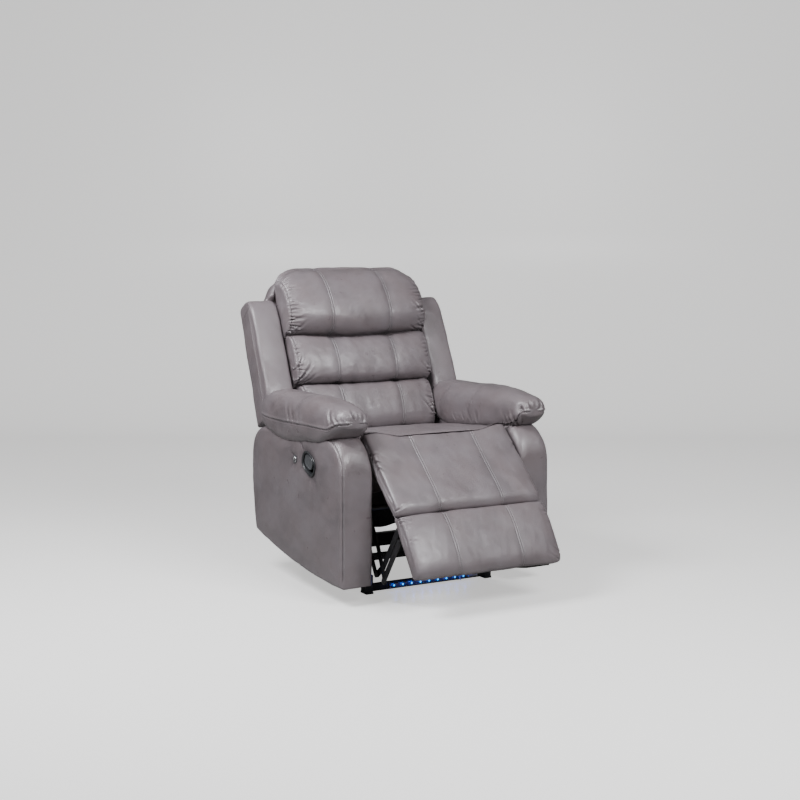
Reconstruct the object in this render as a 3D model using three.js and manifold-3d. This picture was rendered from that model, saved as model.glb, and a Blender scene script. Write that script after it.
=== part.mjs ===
// A manual recliner armchair with pillow arms, a three-pillow back and a chaise leg rest.
// Lengths are millimetres, +Z is up, and the chair faces -Y. Left and right are the sitter's, so
// right is -X. The leg rest is drawn part open, as it is seen when the chair is shown off.
import * as THREE from "three";
import { mergeVertices } from "three/addons/utils/BufferGeometryUtils.js";
import Module from "manifold-3d";

const wasm = await Module();
wasm.setup();

const FIT_GAP = 0.3; // between pieces that touch
const CUT_OVERRUN = 2; // how far a cutting tool runs past the face it opens
const PIN_SIDES = 16;
const ARC_STEPS = 7;
const RIGHT = -1;
const LEFT = 1;

// Arms
const ARM_CLEAR_WIDTH = 550; // between the two arms' inner faces
const ARM_THICK = 115;
const ARM_DEPTH = 663;
const ARM_FRONT_LIFT = 57; // bottom edge over the floor, in front
const ARM_REAR_LIFT = 137; // and at the rear
const ARM_TOP = 525;
const ARM_REAR_TOP = 497; // lower where the back's wing passes over it
const ARM_FRONT_RADIUS = 105;
const ARM_REAR_RADIUS = 88;
const ARM_EDGE_RADIUS = 14;
const ARM_TOP_EDGE_RADIUS = 42;
const PAD_LENGTH = 522;
const PAD_WIDTH = 144;
const PAD_HEIGHT = 156;
const PAD_TOP = 636;
const PAD_OUTSET = 3; // pad's centre line, outside the arm's
const PAD_FRONT = 4;
const PAD_SEAT_GAP = 0.5;
const LINING_THICK = 3; // dark cloth on the arms' inner faces, beside the leg rest
const LINING_FRONT = 20;
const LINING_LENGTH = 160;
const LINING_BOTTOM = 150;
const LINING_HEIGHT = 250;

// Seat
const SEAT_SIDE_GAP = 5; // to each arm
const SEAT_REAR = 526;
const SEAT_BOTTOM = 372;
const SEAT_TOP = 510; // crown, at the front
const SEAT_FRONT = 48; // before the leg rest's nose is cut out of it

// Leg rest: it turns about a line that no pin lies on, inside the seat's front edge
const SWING_Y = 0;
const SWING_Z = 420;
const NOSE_RADIUS = 104;
const NOSE_GAP = 1.5;
const REST_SIDE_GAP = 16; // to each arm
const UPPER_SLOPE = 42; // degrees below level
const LOWER_SLOPE = 55.4;
const UPPER_LENGTH = 184; // from beside the swing line to the groove
const UPPER_FACE = 9; // the upper panel's edge line, outside the swing line
const UPPER_CROWN = 22;
const UPPER_BACK = 25; // the pad's back, inside the swing line
const GROOVE_GAP = 2;
const LOWER_START = 5;
const LOWER_LENGTH = 203;
const LOWER_CROWN = 18;
const LOWER_THICK = 40;
const REST_BOARD_THICK = 12;
const REST_BOARD_INSET = 24;
const UPPER_BOARD_START = -60;
const UPPER_BOARD_END = 168;
const LOWER_BOARD_START = 10;
const LOWER_BOARD_END = 190;
const FLANGE_UPPER_START = 40;
const FLANGE_UPPER_END = 160;
const FLANGE_LOWER_END = 150;
const FLANGE_LIP = 8;
const FLANGE_BOSS = 13;

// Links: pivots as seen from the side, with the leg rest as drawn
const PIVOT_D = new THREE.Vector2(3, 112);
const REACH_DE = new THREE.Vector2(-99, 140);
const REACH_DC = new THREE.Vector2(40, -31);
const REACH_DF = new THREE.Vector2(-17, -42);
const KNEE = new THREE.Vector2(26, 58);
const LINK_THICK = 3.5;
const LINK_HALF = 10;
const LINK_GAP = 1.6;
const PIN_RADIUS = 4;
const PIN_HEAD_RADIUS = 7;
const PIN_HEAD = 0.9;
const PIN_GAP = 0.3;
const PIN_REACH = 1.5; // past the plate that it runs in
const TUBE_RADIUS = 9;
const STUB_RADIUS = 5;

// Steel under the seat
const PLATE_SIDE_GAP = 20; // from the arm to the seat plate's outer face
const PLATE_THICK = 4;
const PLATE_TOP = 365;
const PLATE_BOTTOM = 200;
const PLATE_LOBE = 16;
const PLATE_FOOT_FRONT = 230;
const PLATE_FOOT_REAR = 480;
const PLATE_HINGE_LOBE = 18;
const SHOE_HEIGHT = 16;
const SHOE_LIFT = 206;
const SHOE_FRONT = 250;
const SHOE_LENGTH = 250;
const SHOE_GAP = 0.3;
const RAIL_FRONT = 190;
const RAIL_WALL = 3;
const RAIL_WEB = 4;
const SEAT_RAIL_HEIGHT = 20;
const SEAT_RAIL_DEPTH = 30;
const SEAT_RAIL_FRONT = 150;
const SEAT_RAIL_REAR = 486;
const SPRING_WIRE = 2;
const SPRING_AMPLITUDE = 22;
const SPRING_TURNS = 6;
const SPRING_COUNT = 4;
const SPRING_SIDE_GAP = 49; // from the seat plate to the outermost wave
const SPRING_TIE_PITCH = 110;
const SPRING_TIES = 2;

// Base
const FRONT_TUBE_Y = 117;
const FRONT_TUBE_DEPTH = 20;
const FRONT_TUBE_LIFT = 8;
const FRONT_TUBE_HEIGHT = 22;
const SIDE_RAIL_GAP = 43; // from the arm
const SIDE_RAIL_WIDTH = 20;
const SIDE_RAIL_LIFT = 34;
const SIDE_RAIL_HEIGHT = 26;
const MID_TUBE_Y = 300;
const MID_TUBE_DEPTH = 25;
const MID_TUBE_HEIGHT = 20;
const REAR_TUBE_Y = 565;
const REAR_TUBE_DEPTH = 25;
const REAR_TUBE_LIFT = 42;
const REAR_TUBE_HEIGHT = 46;
const FOOT_LENGTH = 34;
const FOOT_WIDTH = 26;
const FOOT_FLARE = 3;
const SKIRT_Y = 609;
const SKIRT_THICK = 3;
const SKIRT_BOTTOM = 105;
const SKIRT_TOP = 355;

// Light
const LIGHT_COUNT = 9;
const LIGHT_PITCH = 33;
const LIGHT_OFFSET = -5;
const LIGHT_SIZE = 6;
const LIGHT_PROUD = 1.4;
const STRIP_END = 17; // past the last light
const STRIP_TAIL = 38; // bare strip, on the left
const STRIP_HEIGHT = 10;
const STRIP_THICK = 1.6;
const CHANNEL_WALL = 1.2;
const CHANNEL_DEPTH = 4;
const DRIVER_WIDTH = 62;
const DRIVER_HEIGHT = 21;

// Back: s runs up the outside back and d out from it, towards the sitter
const BACK_LEAN = 20.4; // degrees from upright
const BACK_FOOT = new THREE.Vector2(604, 501);
const BACK_SIDE_INSET = 8; // inside the arms' outer faces
const BACK_HEIGHT = 430;
const CROWN_SIDE_STEP = 102; // from the back's side to its crown's
const BACK_CROWN_HEIGHT = 508;
const PANEL_THICK = 22;
const REAR_PAD_THICK = 38; // behind the panel, over the whole outside back
const REAR_PAD_ROUND = 12;
const TONGUE_BOTTOM = 372;
const TONGUE_SIDE_GAP = 7; // to each arm
const PANEL_CORNER = 46;
const FRAME_THICK = 22;
const FRAME_WIDTH = 22;
const FRAME_SIDE_GAP = 14; // from the seat plate
const FRAME_TOP_DROP = 16; // below the crown
const FRAME_KNEE = -29;
const FRAME_BOTTOM = 362;
const RAIL_TOP_DROP = 68; // below the crown
const RAIL_LOW_S = 130;
const BACK_RAIL_WIDTH = 40;
const PILLOW_SIDE_GAP = 14; // to each wing
const HEADREST_SIDE_GAP = 3; // to each wing
const HEADREST_START = 286;
const HEADREST_LENGTH = 241;
const HEADREST_DEPTH = 115;
const MID_START = 113;
const MID_LENGTH = 168;
const MID_DEPTH = 95;
const LOW_SIDE_GAP = 12; // to each arm
const LOW_START = -54;
const LOW_LENGTH = 162;
const LOW_DEPTH = 85;
const WING_WIDTH = 83;
const WING_DEPTH = 65;
const WING_FOOT_Z = 507;
const WING_EDGE = 12;
const HINGE = new THREE.Vector2(575, 345);
const HINGE_RADIUS = 5;
const HINGE_LOBE = 17;
const HINGE_BOSS = 9;
const BRACKET_THICK = 4;
const BRACKET_WIDTH = 24;
const BRACKET_TOP = 470;

// Handle and button, in the right arm's outer face
const HANDLE = new THREE.Vector2(216, 418);
const HANDLE_TILT = 43; // degrees, top towards the rear
const HANDLE_HEIGHT = 100;
const HANDLE_WIDTH = 80;
const BEZEL_LIP = 8;
const BEZEL_PROUD = 4;
const BEZEL_WALL = 3;
const CUP_DEPTH = 25;
const PADDLE_THICK = 4;
const PADDLE_GAP = 2.5;
const PADDLE_PIN_RADIUS = 2.5;
const PADDLE_PIN_Y = 23.5; // behind the handle's middle
const FINGER_ROOM = 27;
const BUTTON = new THREE.Vector2(317, 419);
const BUTTON_RADIUS = 10;
const BUTTON_HEIGHT = 9;
const BUTTON_PROUD = 3;
const BUTTON_DISH = 1.5;
const BUTTON_GAP = 0.4;
const BUTTON_WALL = 2;
const BUTTON_RIM = 1.5;
const BUTTON_RIM_THICK = 1.6;
const BUTTON_WELL = 14;
const CABLE_RADIUS = 2.5;
const CABLE_BORE = 4;
const CABLE_STEPS = 30;
const CABLE_SIDES = 8;
const LATCH = new THREE.Vector2(215, 300);
const LATCH_REACH = new THREE.Vector2(-14, -58);
const LATCH_HALF = 8;
const LATCH_PIN = 3;

const GREY_LEATHER = new THREE.MeshStandardMaterial({ color: 0x6b686b, roughness: 0.42 });
const DARK_CLOTH = new THREE.MeshStandardMaterial({ color: 0x242326, roughness: 0.9 });
const BLACK_STEEL = new THREE.MeshStandardMaterial({ color: 0x17181a, roughness: 0.4, metalness: 0.7 });
const BLACK_PLASTIC = new THREE.MeshStandardMaterial({ color: 0x1d1f21, roughness: 0.45 });
const BRIGHT_STEEL = new THREE.MeshStandardMaterial({ color: 0xc8c9cb, roughness: 0.25, metalness: 1 });
const SPRING_STEEL = new THREE.MeshStandardMaterial({ color: 0x54565a, roughness: 0.4, metalness: 0.9 });
const PLYWOOD = new THREE.MeshStandardMaterial({ color: 0xb48b5c, roughness: 0.7 });
const ALUMINIUM = new THREE.MeshStandardMaterial({ color: 0x9aa0a6, roughness: 0.4, metalness: 0.8 });
const LIGHT_STRIP = new THREE.MeshStandardMaterial({ color: 0x59d2ff, emissive: 0x1aa0ff, roughness: 0.3 });

const chair = new THREE.Group();
const ALONG_X = new THREE.Vector3(1, 0, 0);
const ALONG_Y = new THREE.Vector3(0, 1, 0);
const ALONG_Z = new THREE.Vector3(0, 0, 1);

const sideName = (side) => (side === RIGHT ? "right" : "left");
const radians = THREE.MathUtils.degToRad;

// A closed geometry as a solid that can be cut and joined.
function solid(geometry) {
  geometry.deleteAttribute("normal");
  geometry.deleteAttribute("uv");
  const merged = mergeVertices(geometry);
  const corners = merged.index.array;
  const triVerts = [];
  for (let i = 0; i < corners.length; i += 3) {
    const [a, b, c] = corners.slice(i, i + 3);
    if (a !== b && b !== c && c !== a) triVerts.push(a, b, c);
  }
  return new wasm.Manifold(
    new wasm.Mesh({
      numProp: 3,
      vertProperties: merged.attributes.position.array,
      triVerts: new Uint32Array(triVerts),
    }),
  );
}

function add(name, made, material) {
  const data = made.getMesh();
  const geometry = new THREE.BufferGeometry();
  geometry.setAttribute("position", new THREE.BufferAttribute(data.vertProperties, 3));
  geometry.setIndex(new THREE.BufferAttribute(data.triVerts, 1));
  geometry.computeVertexNormals();
  const mesh = new THREE.Mesh(geometry, material);
  mesh.name = name;
  chair.add(mesh);
}

function block(x, y, z) {
  const geometry = new THREE.BoxGeometry(x[1] - x[0], y[1] - y[0], z[1] - z[0]);
  geometry.translate((x[0] + x[1]) / 2, (y[0] + y[1]) / 2, (z[0] + z[1]) / 2);
  return solid(geometry);
}

// The span between two distances from the chair's middle, on one side of it.
function span(side, inner, outer) {
  return side === LEFT ? [inner, outer] : [-outer, -inner];
}

// A side-view outline, in Y and Z, as a plate that fills a span of X.
function plate(shape, x) {
  const depth = x[1] - x[0];
  const geometry = new THREE.ExtrudeGeometry(shape, { depth, bevelEnabled: false, curveSegments: ARC_STEPS });
  geometry.applyMatrix4(new THREE.Matrix4().makeBasis(ALONG_Y, ALONG_Z, ALONG_X));
  geometry.translate(x[0], 0, 0);
  return solid(geometry);
}

function polygon(points) {
  return new THREE.Shape(points.map((p) => new THREE.Vector2(p.x, p.y)));
}

// A round bar along X through a side-view point.
function rod(at, radius, x, sides = PIN_SIDES) {
  const geometry = new THREE.CylinderGeometry(radius, radius, x[1] - x[0], sides);
  geometry.rotateZ(Math.PI / 2);
  geometry.translate((x[0] + x[1]) / 2, at.x, at.y);
  return solid(geometry);
}

function drill(shape, at, radius) {
  const hole = new THREE.Path();
  hole.absarc(at.x, at.y, radius, 0, 2 * Math.PI, true);
  shape.holes.push(hole);
}

// A flat link of even width with round ends, along two or more side-view points.
function linkShape(path, half) {
  const shape = new THREE.Shape();
  const last = path.length - 1;
  const heading = (i) => path[i + 1].clone().sub(path[i]).angle();
  const corner = (i, turn) => {
    const middle = (heading(i - 1) + heading(i)) / 2 + (turn * Math.PI) / 2;
    const reach = half / Math.cos((heading(i) - heading(i - 1)) / 2);
    return [path[i].x + reach * Math.cos(middle), path[i].y + reach * Math.sin(middle)];
  };
  const start = heading(0);
  const end = heading(last - 1);
  shape.absarc(path[0].x, path[0].y, half, start + Math.PI / 2, start + 1.5 * Math.PI, false);
  for (let i = 1; i < last; i++) shape.lineTo(...corner(i, -1));
  shape.absarc(path[last].x, path[last].y, half, end - Math.PI / 2, end + Math.PI / 2, false);
  for (let i = last - 1; i > 0; i--) shape.lineTo(...corner(i, 1));
  return shape;
}

// A closed body through rings of points that lie one after another, with flat ends.
function loft(rings) {
  const count = rings[0].length;
  const points = rings.flat();
  const ends = [rings[0], rings[rings.length - 1]];
  for (const ring of ends) {
    const middle = new THREE.Vector3();
    for (const p of ring) middle.add(p);
    points.push(middle.divideScalar(count));
  }
  const faces = [];
  for (let r = 0; r + 1 < rings.length; r++) {
    for (let i = 0; i < count; i++) {
      const a = r * count + i;
      const b = r * count + ((i + 1) % count);
      faces.push([a, b, b + count], [a, b + count, a + count]);
    }
  }
  const firstCap = rings.length * count;
  const lastRing = (rings.length - 1) * count;
  for (let i = 0; i < count; i++) {
    const next = (i + 1) % count;
    faces.push([firstCap, next, i], [firstCap + 1, lastRing + i, lastRing + next]);
  }
  let volume = 0;
  for (const [a, b, c] of faces) volume += points[a].dot(points[b].clone().cross(points[c]));
  if (volume < 0) for (const face of faces) face.reverse();
  const geometry = new THREE.BufferGeometry().setFromPoints(points);
  geometry.setIndex(faces.flat());
  return solid(geometry);
}

// How full a pillow is at a place across it, from 0 at its side to 1 in its middle.
function fullness(across, power) {
  return (1 - Math.abs(across) ** power) ** (1 / power);
}

const ACROSS_HALF_SHARES = [0.15, 0.31, 0.345, 0.38, 0.6, 0.8, 0.93, 0.995];
const ACROSS_SHARES = [...ACROSS_HALF_SHARES.map((a) => -a).reverse(), 0, ...ACROSS_HALF_SHARES];
const SEAM_SHARE = 0.345;
const SEAM_REACH_SHARE = 0.01;
const SEAM_PULL_SHARE = 0.05;
const SIDE_POWER = 5;
const CROWN_SHARE = 0.12;
const PILLOW_STEPS = 22;

// A smooth closed outline through shares of a length and a depth, flat along its back.
function cushionOutline(start, length, back, depth, shares) {
  const points = shares.map(([a, b]) => new THREE.Vector3(start + length * a, back + depth * b, 0));
  const curve = new THREE.CatmullRomCurve3(points, true);
  return curve
    .getSpacedPoints(PILLOW_STEPS)
    .slice(0, -1)
    .map((p) => new THREE.Vector2(p.x, Math.max(p.y, back)));
}

// A pillow across the chair. Its outline holds in the middle, is drawn in at the two sides and
// along two sewn channels, and keeps its flat back at one depth.
function pillow(width, outline, place, back, lengthShare, depthShare) {
  const middle = outline.reduce((sum, p) => sum + p.x, 0) / outline.length;
  return loft(
    ACROSS_SHARES.map((across) => {
      const full = fullness(across, SIDE_POWER);
      const sewn = Math.abs(Math.abs(across) - SEAM_SHARE) < SEAM_REACH_SHARE ? SEAM_PULL_SHARE : 0;
      const along = THREE.MathUtils.lerp(lengthShare, 1, full);
      const crown = 1 - CROWN_SHARE * across ** 2;
      const deep = THREE.MathUtils.lerp(depthShare, 1, full) * crown - sewn;
      return outline.map((p) => {
        const at = place(middle + (p.x - middle) * along, back + (p.y - back) * deep);
        return new THREE.Vector3((across * width) / 2, at.x, at.y);
      });
    }),
  );
}

const EDGE_SHARES = [0, 0.3, 1];

// A flat outline as a padded plate whose two faces have round edges.
function paddedPlate(points, place, x, radius) {
  const box = new THREE.Box2().setFromPoints(points);
  const middle = box.getCenter(new THREE.Vector2());
  const half = box.getSize(new THREE.Vector2()).divideScalar(2);
  const near = EDGE_SHARES.map((share) => [x[0] + share * radius, share]);
  const far = EDGE_SHARES.map((share) => [x[1] - share * radius, share]).reverse();
  return loft(
    [...near, ...far].map(([at, share]) => {
      const inset = radius * (1 - Math.sqrt(1 - (1 - share) ** 2));
      return points.map((p) => {
        const a = middle.x + (p.x - middle.x) * (1 - inset / half.x);
        const b = middle.y + (p.y - middle.y) * (1 - inset / half.y);
        const placed = place(a, b);
        return new THREE.Vector3(at, placed.x, placed.y);
      });
    }),
  );
}

// A flat side-view frame: lengths run along a heading, and depths stand out on one hand of it.
function leaning(origin, heading, hand) {
  const along = new THREE.Vector2(Math.cos(heading), Math.sin(heading));
  const out = new THREE.Vector2(-along.y * hand, along.x * hand);
  return (a, b) => origin.clone().addScaledVector(along, a).addScaledVector(out, b);
}

// Arms
const armInner = ARM_CLEAR_WIDTH / 2;
const armOuter = armInner + ARM_THICK;
const seatWidth = ARM_CLEAR_WIDTH - 2 * SEAT_SIDE_GAP;
const restWidth = ARM_CLEAR_WIDTH - 2 * REST_SIDE_GAP;
const plateOuter = armInner - PLATE_SIDE_GAP;
const plateInner = plateOuter - PLATE_THICK;
const sideRailInner = armInner - SIDE_RAIL_GAP - SIDE_RAIL_WIDTH;
const BOTTOM_BEND_SHARE = 0.5;
const REAR_BOTTOM_SHARE = 0.953;
const REAR_BEND_SHARE = 0.42;
const REAR_ROUND_SHARE = 0.845;
const REAR_SHOULDER_SHARE = 0.45;
const CREST_REAR_SHARE = 0.65;
const ARC_CONTROL_SHARE = 0.45;
const ARM_STEPS = 60;
const ARM_ACROSS_SHARES = [0, 0.03, 0.11, 0.22, 0.36, 0.64, 0.78, 0.89, 0.97, 1];

// The arm's side view at one place across it. Its edges are let in by one amount and its crest
// is lower by another, so that the arm is round all over; grow makes a larger one to cut with.
function armShape(inset, drop, grow) {
  const front = inset - grow;
  const low = ARM_FRONT_LIFT + inset - grow;
  const rearLow = ARM_REAR_LIFT + inset - grow;
  const rear = ARM_DEPTH - inset + grow;
  const top = ARM_TOP - drop + grow;
  const rearTop = ARM_REAR_TOP - inset + grow;
  const round = ARM_FRONT_RADIUS;
  const crestRear = ARM_DEPTH * CREST_REAR_SHARE;
  const roundRear = ARM_DEPTH * REAR_ROUND_SHARE;
  const bend = (crestRear + roundRear) / 2;
  const shoulder = rearTop - ARM_REAR_RADIUS * (1 - REAR_SHOULDER_SHARE);
  const shape = new THREE.Path();
  shape.moveTo(front, low);
  shape.quadraticCurveTo(ARM_DEPTH * BOTTOM_BEND_SHARE, low, rear * REAR_BOTTOM_SHARE, rearLow);
  shape.quadraticCurveTo(rear, rearTop * REAR_BEND_SHARE, rear, rearTop - ARM_REAR_RADIUS);
  const rearEase = rear - ARM_REAR_RADIUS * ARC_CONTROL_SHARE;
  shape.bezierCurveTo(rear, shoulder, rearEase, rearTop, roundRear, rearTop);
  shape.bezierCurveTo(bend, rearTop, bend, top, crestRear, top);
  shape.lineTo(front + round, top);
  const ease = round * ARC_CONTROL_SHARE;
  shape.bezierCurveTo(front + ease, top, front, top - ease, front, top - round);
  shape.closePath();
  return shape;
}

function armBody(side, grow) {
  const edge = (radius, depth) => radius - Math.sqrt(radius ** 2 - Math.max(radius - depth, 0) ** 2);
  const rings = ARM_ACROSS_SHARES.map((share) => {
    const depth = Math.min(share, 1 - share) * ARM_THICK;
    const shape = armShape(edge(ARM_EDGE_RADIUS, depth), edge(ARM_TOP_EDGE_RADIUS, depth), grow);
    const x = side * THREE.MathUtils.lerp(armInner - grow, armOuter + grow, share);
    const points = shape.getSpacedPoints(ARM_STEPS).slice(0, -1);
    return points.map((p) => new THREE.Vector3(x, p.x, p.y));
  });
  return loft(rings);
}

const PAD_STEPS = 22;
const PAD_ALONG_SHARES = [0.004, 0.03, 0.08, 0.16, 0.28, 0.42, 0.58, 0.72, 0.84, 0.92, 0.97, 0.996];
const PAD_END_POWER = 3.4;
const PAD_SECTION_POWER = 2.5;
const PAD_NOSE_DROP_SHARE = 0.1;
const PAD_NOSE_LIFT_SHARE = 0.8;
const PAD_LIFT_POWER = 1.6;

// A pillow that lies on the arm, blunt at both ends, with a section between an oval and a box.
// Its underside hangs over the arm's outer edge and climbs clear of the arm's round front.
function armPad(side) {
  const middle = side * (armInner + ARM_THICK / 2 + PAD_OUTSET);
  const height = PAD_TOP - PAD_HEIGHT / 2;
  const bulge = (value) => Math.sign(value) * Math.abs(value) ** (2 / PAD_SECTION_POWER);
  const rings = PAD_ALONG_SHARES.map((share) => {
    const full = fullness(2 * share - 1, PAD_END_POWER);
    const nose = Math.max(0, 1 - share / CREST_REAR_SHARE);
    const sink = PAD_HEIGHT * PAD_NOSE_DROP_SHARE * nose ** 2;
    const under = 1 - PAD_NOSE_LIFT_SHARE * nose ** PAD_LIFT_POWER;
    return Array.from({ length: PAD_STEPS }, (_, i) => {
      const turn = (2 * Math.PI * i) / PAD_STEPS;
      const up = bulge(Math.sin(turn));
      return new THREE.Vector3(
        middle + (PAD_WIDTH / 2) * full * bulge(Math.cos(turn)),
        PAD_FRONT + PAD_LENGTH * share,
        height - sink + (PAD_HEIGHT / 2) * full * (up < 0 ? up * under : up),
      );
    });
  });
  return loft(rings).subtract(armBody(side, PAD_SEAT_GAP));
}

function lining(side) {
  return block(
    span(side, armInner - FIT_GAP - LINING_THICK, armInner - FIT_GAP),
    [LINING_FRONT, LINING_FRONT + LINING_LENGTH],
    [LINING_BOTTOM, LINING_BOTTOM + LINING_HEIGHT],
  );
}

// Handle: drawn upright about its own middle, then leant over and set in the right arm
const handlePlace = new THREE.Matrix4()
  .makeTranslation(-armOuter, HANDLE.x, HANDLE.y)
  .multiply(new THREE.Matrix4().makeRotationX(-radians(HANDLE_TILT)));
const OVAL_POWER = 2.6;
const OVAL_STEPS = 28;
const mouthWidth = HANDLE_WIDTH - 2 * BEZEL_LIP;
const mouthHeight = HANDLE_HEIGHT - 2 * BEZEL_LIP;
const cupWidth = mouthWidth + 2 * BEZEL_WALL;
const cupHeight = mouthHeight + 2 * BEZEL_WALL;
const cupBack = CUP_DEPTH + BEZEL_WALL;

function oval(width, height) {
  const bulge = (value) => Math.sign(value) * Math.abs(value) ** (2 / OVAL_POWER);
  const points = Array.from({ length: OVAL_STEPS }, (_, i) => {
    const turn = (2 * Math.PI * i) / OVAL_STEPS;
    return new THREE.Vector2((width / 2) * bulge(Math.cos(turn)), (height / 2) * bulge(Math.sin(turn)));
  });
  return new THREE.Shape(points);
}

function handlePlate(shape, x) {
  const depth = x[1] - x[0];
  const geometry = new THREE.ExtrudeGeometry(shape, { depth, bevelEnabled: false, curveSegments: ARC_STEPS });
  geometry.applyMatrix4(new THREE.Matrix4().makeBasis(ALONG_Y, ALONG_Z, ALONG_X));
  geometry.translate(x[0], 0, 0);
  geometry.applyMatrix4(handlePlace);
  return solid(geometry);
}

// The paddle's pin, or the bore for it, along the handle's long axis.
function paddlePin(radius, reach) {
  const geometry = new THREE.CylinderGeometry(radius, radius, 2 * reach, PIN_SIDES);
  geometry.rotateX(Math.PI / 2);
  geometry.translate(PADDLE_THICK + PADDLE_PIN_RADIUS / 2, PADDLE_PIN_Y, 0);
  geometry.applyMatrix4(handlePlace);
  return solid(geometry);
}

// From the handle's middle to the cup's wall, beside the pin.
const pinRoom = (mouthHeight / 2) * fullness((2 * PADDLE_PIN_Y) / mouthWidth, OVAL_POWER);

function handleBezel() {
  const lip = oval(HANDLE_WIDTH, HANDLE_HEIGHT);
  lip.holes.push(oval(mouthWidth, mouthHeight));
  const wall = oval(cupWidth, cupHeight);
  wall.holes.push(oval(mouthWidth, mouthHeight));
  return handlePlate(lip, [-BEZEL_PROUD, -FIT_GAP])
    .add(handlePlate(wall, [-BEZEL_PROUD / 2, cupBack - BEZEL_WALL / 2]))
    .add(handlePlate(oval(cupWidth, cupHeight), [CUP_DEPTH, cupBack]))
    .subtract(paddlePin(PADDLE_PIN_RADIUS + PIN_GAP, pinRoom + BEZEL_WALL / 2));
}

const SCALLOP_RADIUS = 7;
const SCALLOP_PITCH = 15;
const SCALLOP_COUNT = 3;

// A plate that fills the rear of the cup's mouth. The fingers go in before its scalloped edge.
function leverPaddle() {
  const over = [-CUT_OVERRUN, PADDLE_THICK + CUT_OVERRUN];
  const edge = FINGER_ROOM - mouthWidth / 2;
  const room = new THREE.Shape();
  room.moveTo(-mouthWidth, -mouthHeight);
  room.lineTo(edge, -mouthHeight);
  room.lineTo(edge, mouthHeight);
  room.lineTo(-mouthWidth, mouthHeight);
  const outline = oval(mouthWidth - 2 * PADDLE_GAP, mouthHeight - 2 * PADDLE_GAP);
  let paddle = handlePlate(outline, [0, PADDLE_THICK]);
  paddle = paddle.subtract(handlePlate(room, over));
  for (let i = 0; i < SCALLOP_COUNT; i++) {
    const scallop = new THREE.Shape();
    const lift = (i - (SCALLOP_COUNT - 1) / 2) * SCALLOP_PITCH;
    scallop.absarc(edge - SCALLOP_RADIUS / 2, lift, SCALLOP_RADIUS, 0, 2 * Math.PI, false);
    paddle = paddle.subtract(handlePlate(scallop, over));
  }
  return paddle.add(paddlePin(PADDLE_PIN_RADIUS, pinRoom + BEZEL_WALL / 4));
}

// A turned piece in the right arm's face: radius against depth behind the face.
function turned(profile, at) {
  const points = profile.map(([radius, depth]) => new THREE.Vector2(radius, depth));
  const geometry = new THREE.LatheGeometry(points, PIN_SIDES);
  geometry.rotateZ(-Math.PI / 2);
  geometry.translate(-armOuter, at.x, at.y);
  return solid(geometry);
}

const sleeve = BUTTON_RADIUS + BUTTON_GAP + BUTTON_WALL;

function buttonBezel() {
  const bore = BUTTON_RADIUS + BUTTON_GAP;
  const floor = BUTTON_WELL - BUTTON_WALL;
  const outer = sleeve + BUTTON_RIM;
  return turned(
    [
      [0, floor],
      [bore, floor],
      [bore, -BUTTON_RIM_THICK],
      [outer - BUTTON_RIM / 2, -BUTTON_RIM_THICK],
      [outer, -FIT_GAP],
      [sleeve, -FIT_GAP],
      [sleeve, BUTTON_WELL],
      [0, BUTTON_WELL],
    ],
    BUTTON,
  );
}

function ledButton() {
  return turned(
    [
      [0, BUTTON_DISH - BUTTON_PROUD],
      [BUTTON_RADIUS - BUTTON_DISH, -BUTTON_PROUD],
      [BUTTON_RADIUS, BUTTON_DISH - BUTTON_PROUD],
      [BUTTON_RADIUS, BUTTON_HEIGHT - BUTTON_PROUD],
      [0, BUTTON_HEIGHT - BUTTON_PROUD],
    ],
    BUTTON,
  );
}

// Release cable: from the cup's back, through the arm, to the rail beside the latch. Each point
// is its distance out from the arm's inner face and its place in the side view.
const CABLE_POINTS = [
  [79, 222, 405],
  [65, 222, 394],
  [47, 220, 368],
  [20, 214, 334],
  [1, 208, 322],
  [-10.5, 202, 308],
  [-12.5, 200, 280],
  [-12.5, 200, 250],
];
const railTop = SHOE_LIFT + SHOE_HEIGHT + SHOE_GAP + RAIL_WALL;
const inSide = CABLE_POINTS.map(([out, y, z]) => new THREE.Vector3(-armInner - out, y, z));
const cableRoute = [
  new THREE.Vector3(-armOuter + cupBack + FIT_GAP, inSide[0].y, inSide[0].z),
  ...inSide,
  new THREE.Vector3(inSide.at(-1).x, inSide.at(-1).y, railTop + FIT_GAP),
];

function cable(route, radius) {
  const ring = new THREE.Shape();
  for (let i = 0; i < CABLE_SIDES; i++) {
    const turn = (2 * Math.PI * i) / CABLE_SIDES;
    const corner = [radius * Math.cos(turn), radius * Math.sin(turn)];
    if (i === 0) ring.moveTo(...corner);
    else ring.lineTo(...corner);
  }
  const extrudePath = new THREE.CatmullRomCurve3(route);
  return solid(new THREE.ExtrudeGeometry(ring, { steps: CABLE_STEPS, extrudePath, bevelEnabled: false }));
}

// The bore starts inside the handle's pocket and ends past the arm's inner face.
function cableBore() {
  const inArm = cableRoute.slice(0, cableRoute.length - 3);
  const first = inArm[0].clone();
  first.x -= CUT_OVERRUN;
  return cable([first, ...inArm], CABLE_BORE);
}

function arm(side) {
  const body = armBody(side, 0);
  if (side === LEFT) return body;
  const pocket = oval(cupWidth + 2 * FIT_GAP, cupHeight + 2 * FIT_GAP);
  const wellSpan = [-armOuter - CUT_OVERRUN, -armOuter + BUTTON_WELL + FIT_GAP];
  const well = rod(BUTTON, sleeve + FIT_GAP, wellSpan);
  return body
    .subtract(handlePlate(pocket, [-CUT_OVERRUN, cupBack + FIT_GAP]))
    .subtract(well)
    .subtract(cableBore());
}

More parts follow.
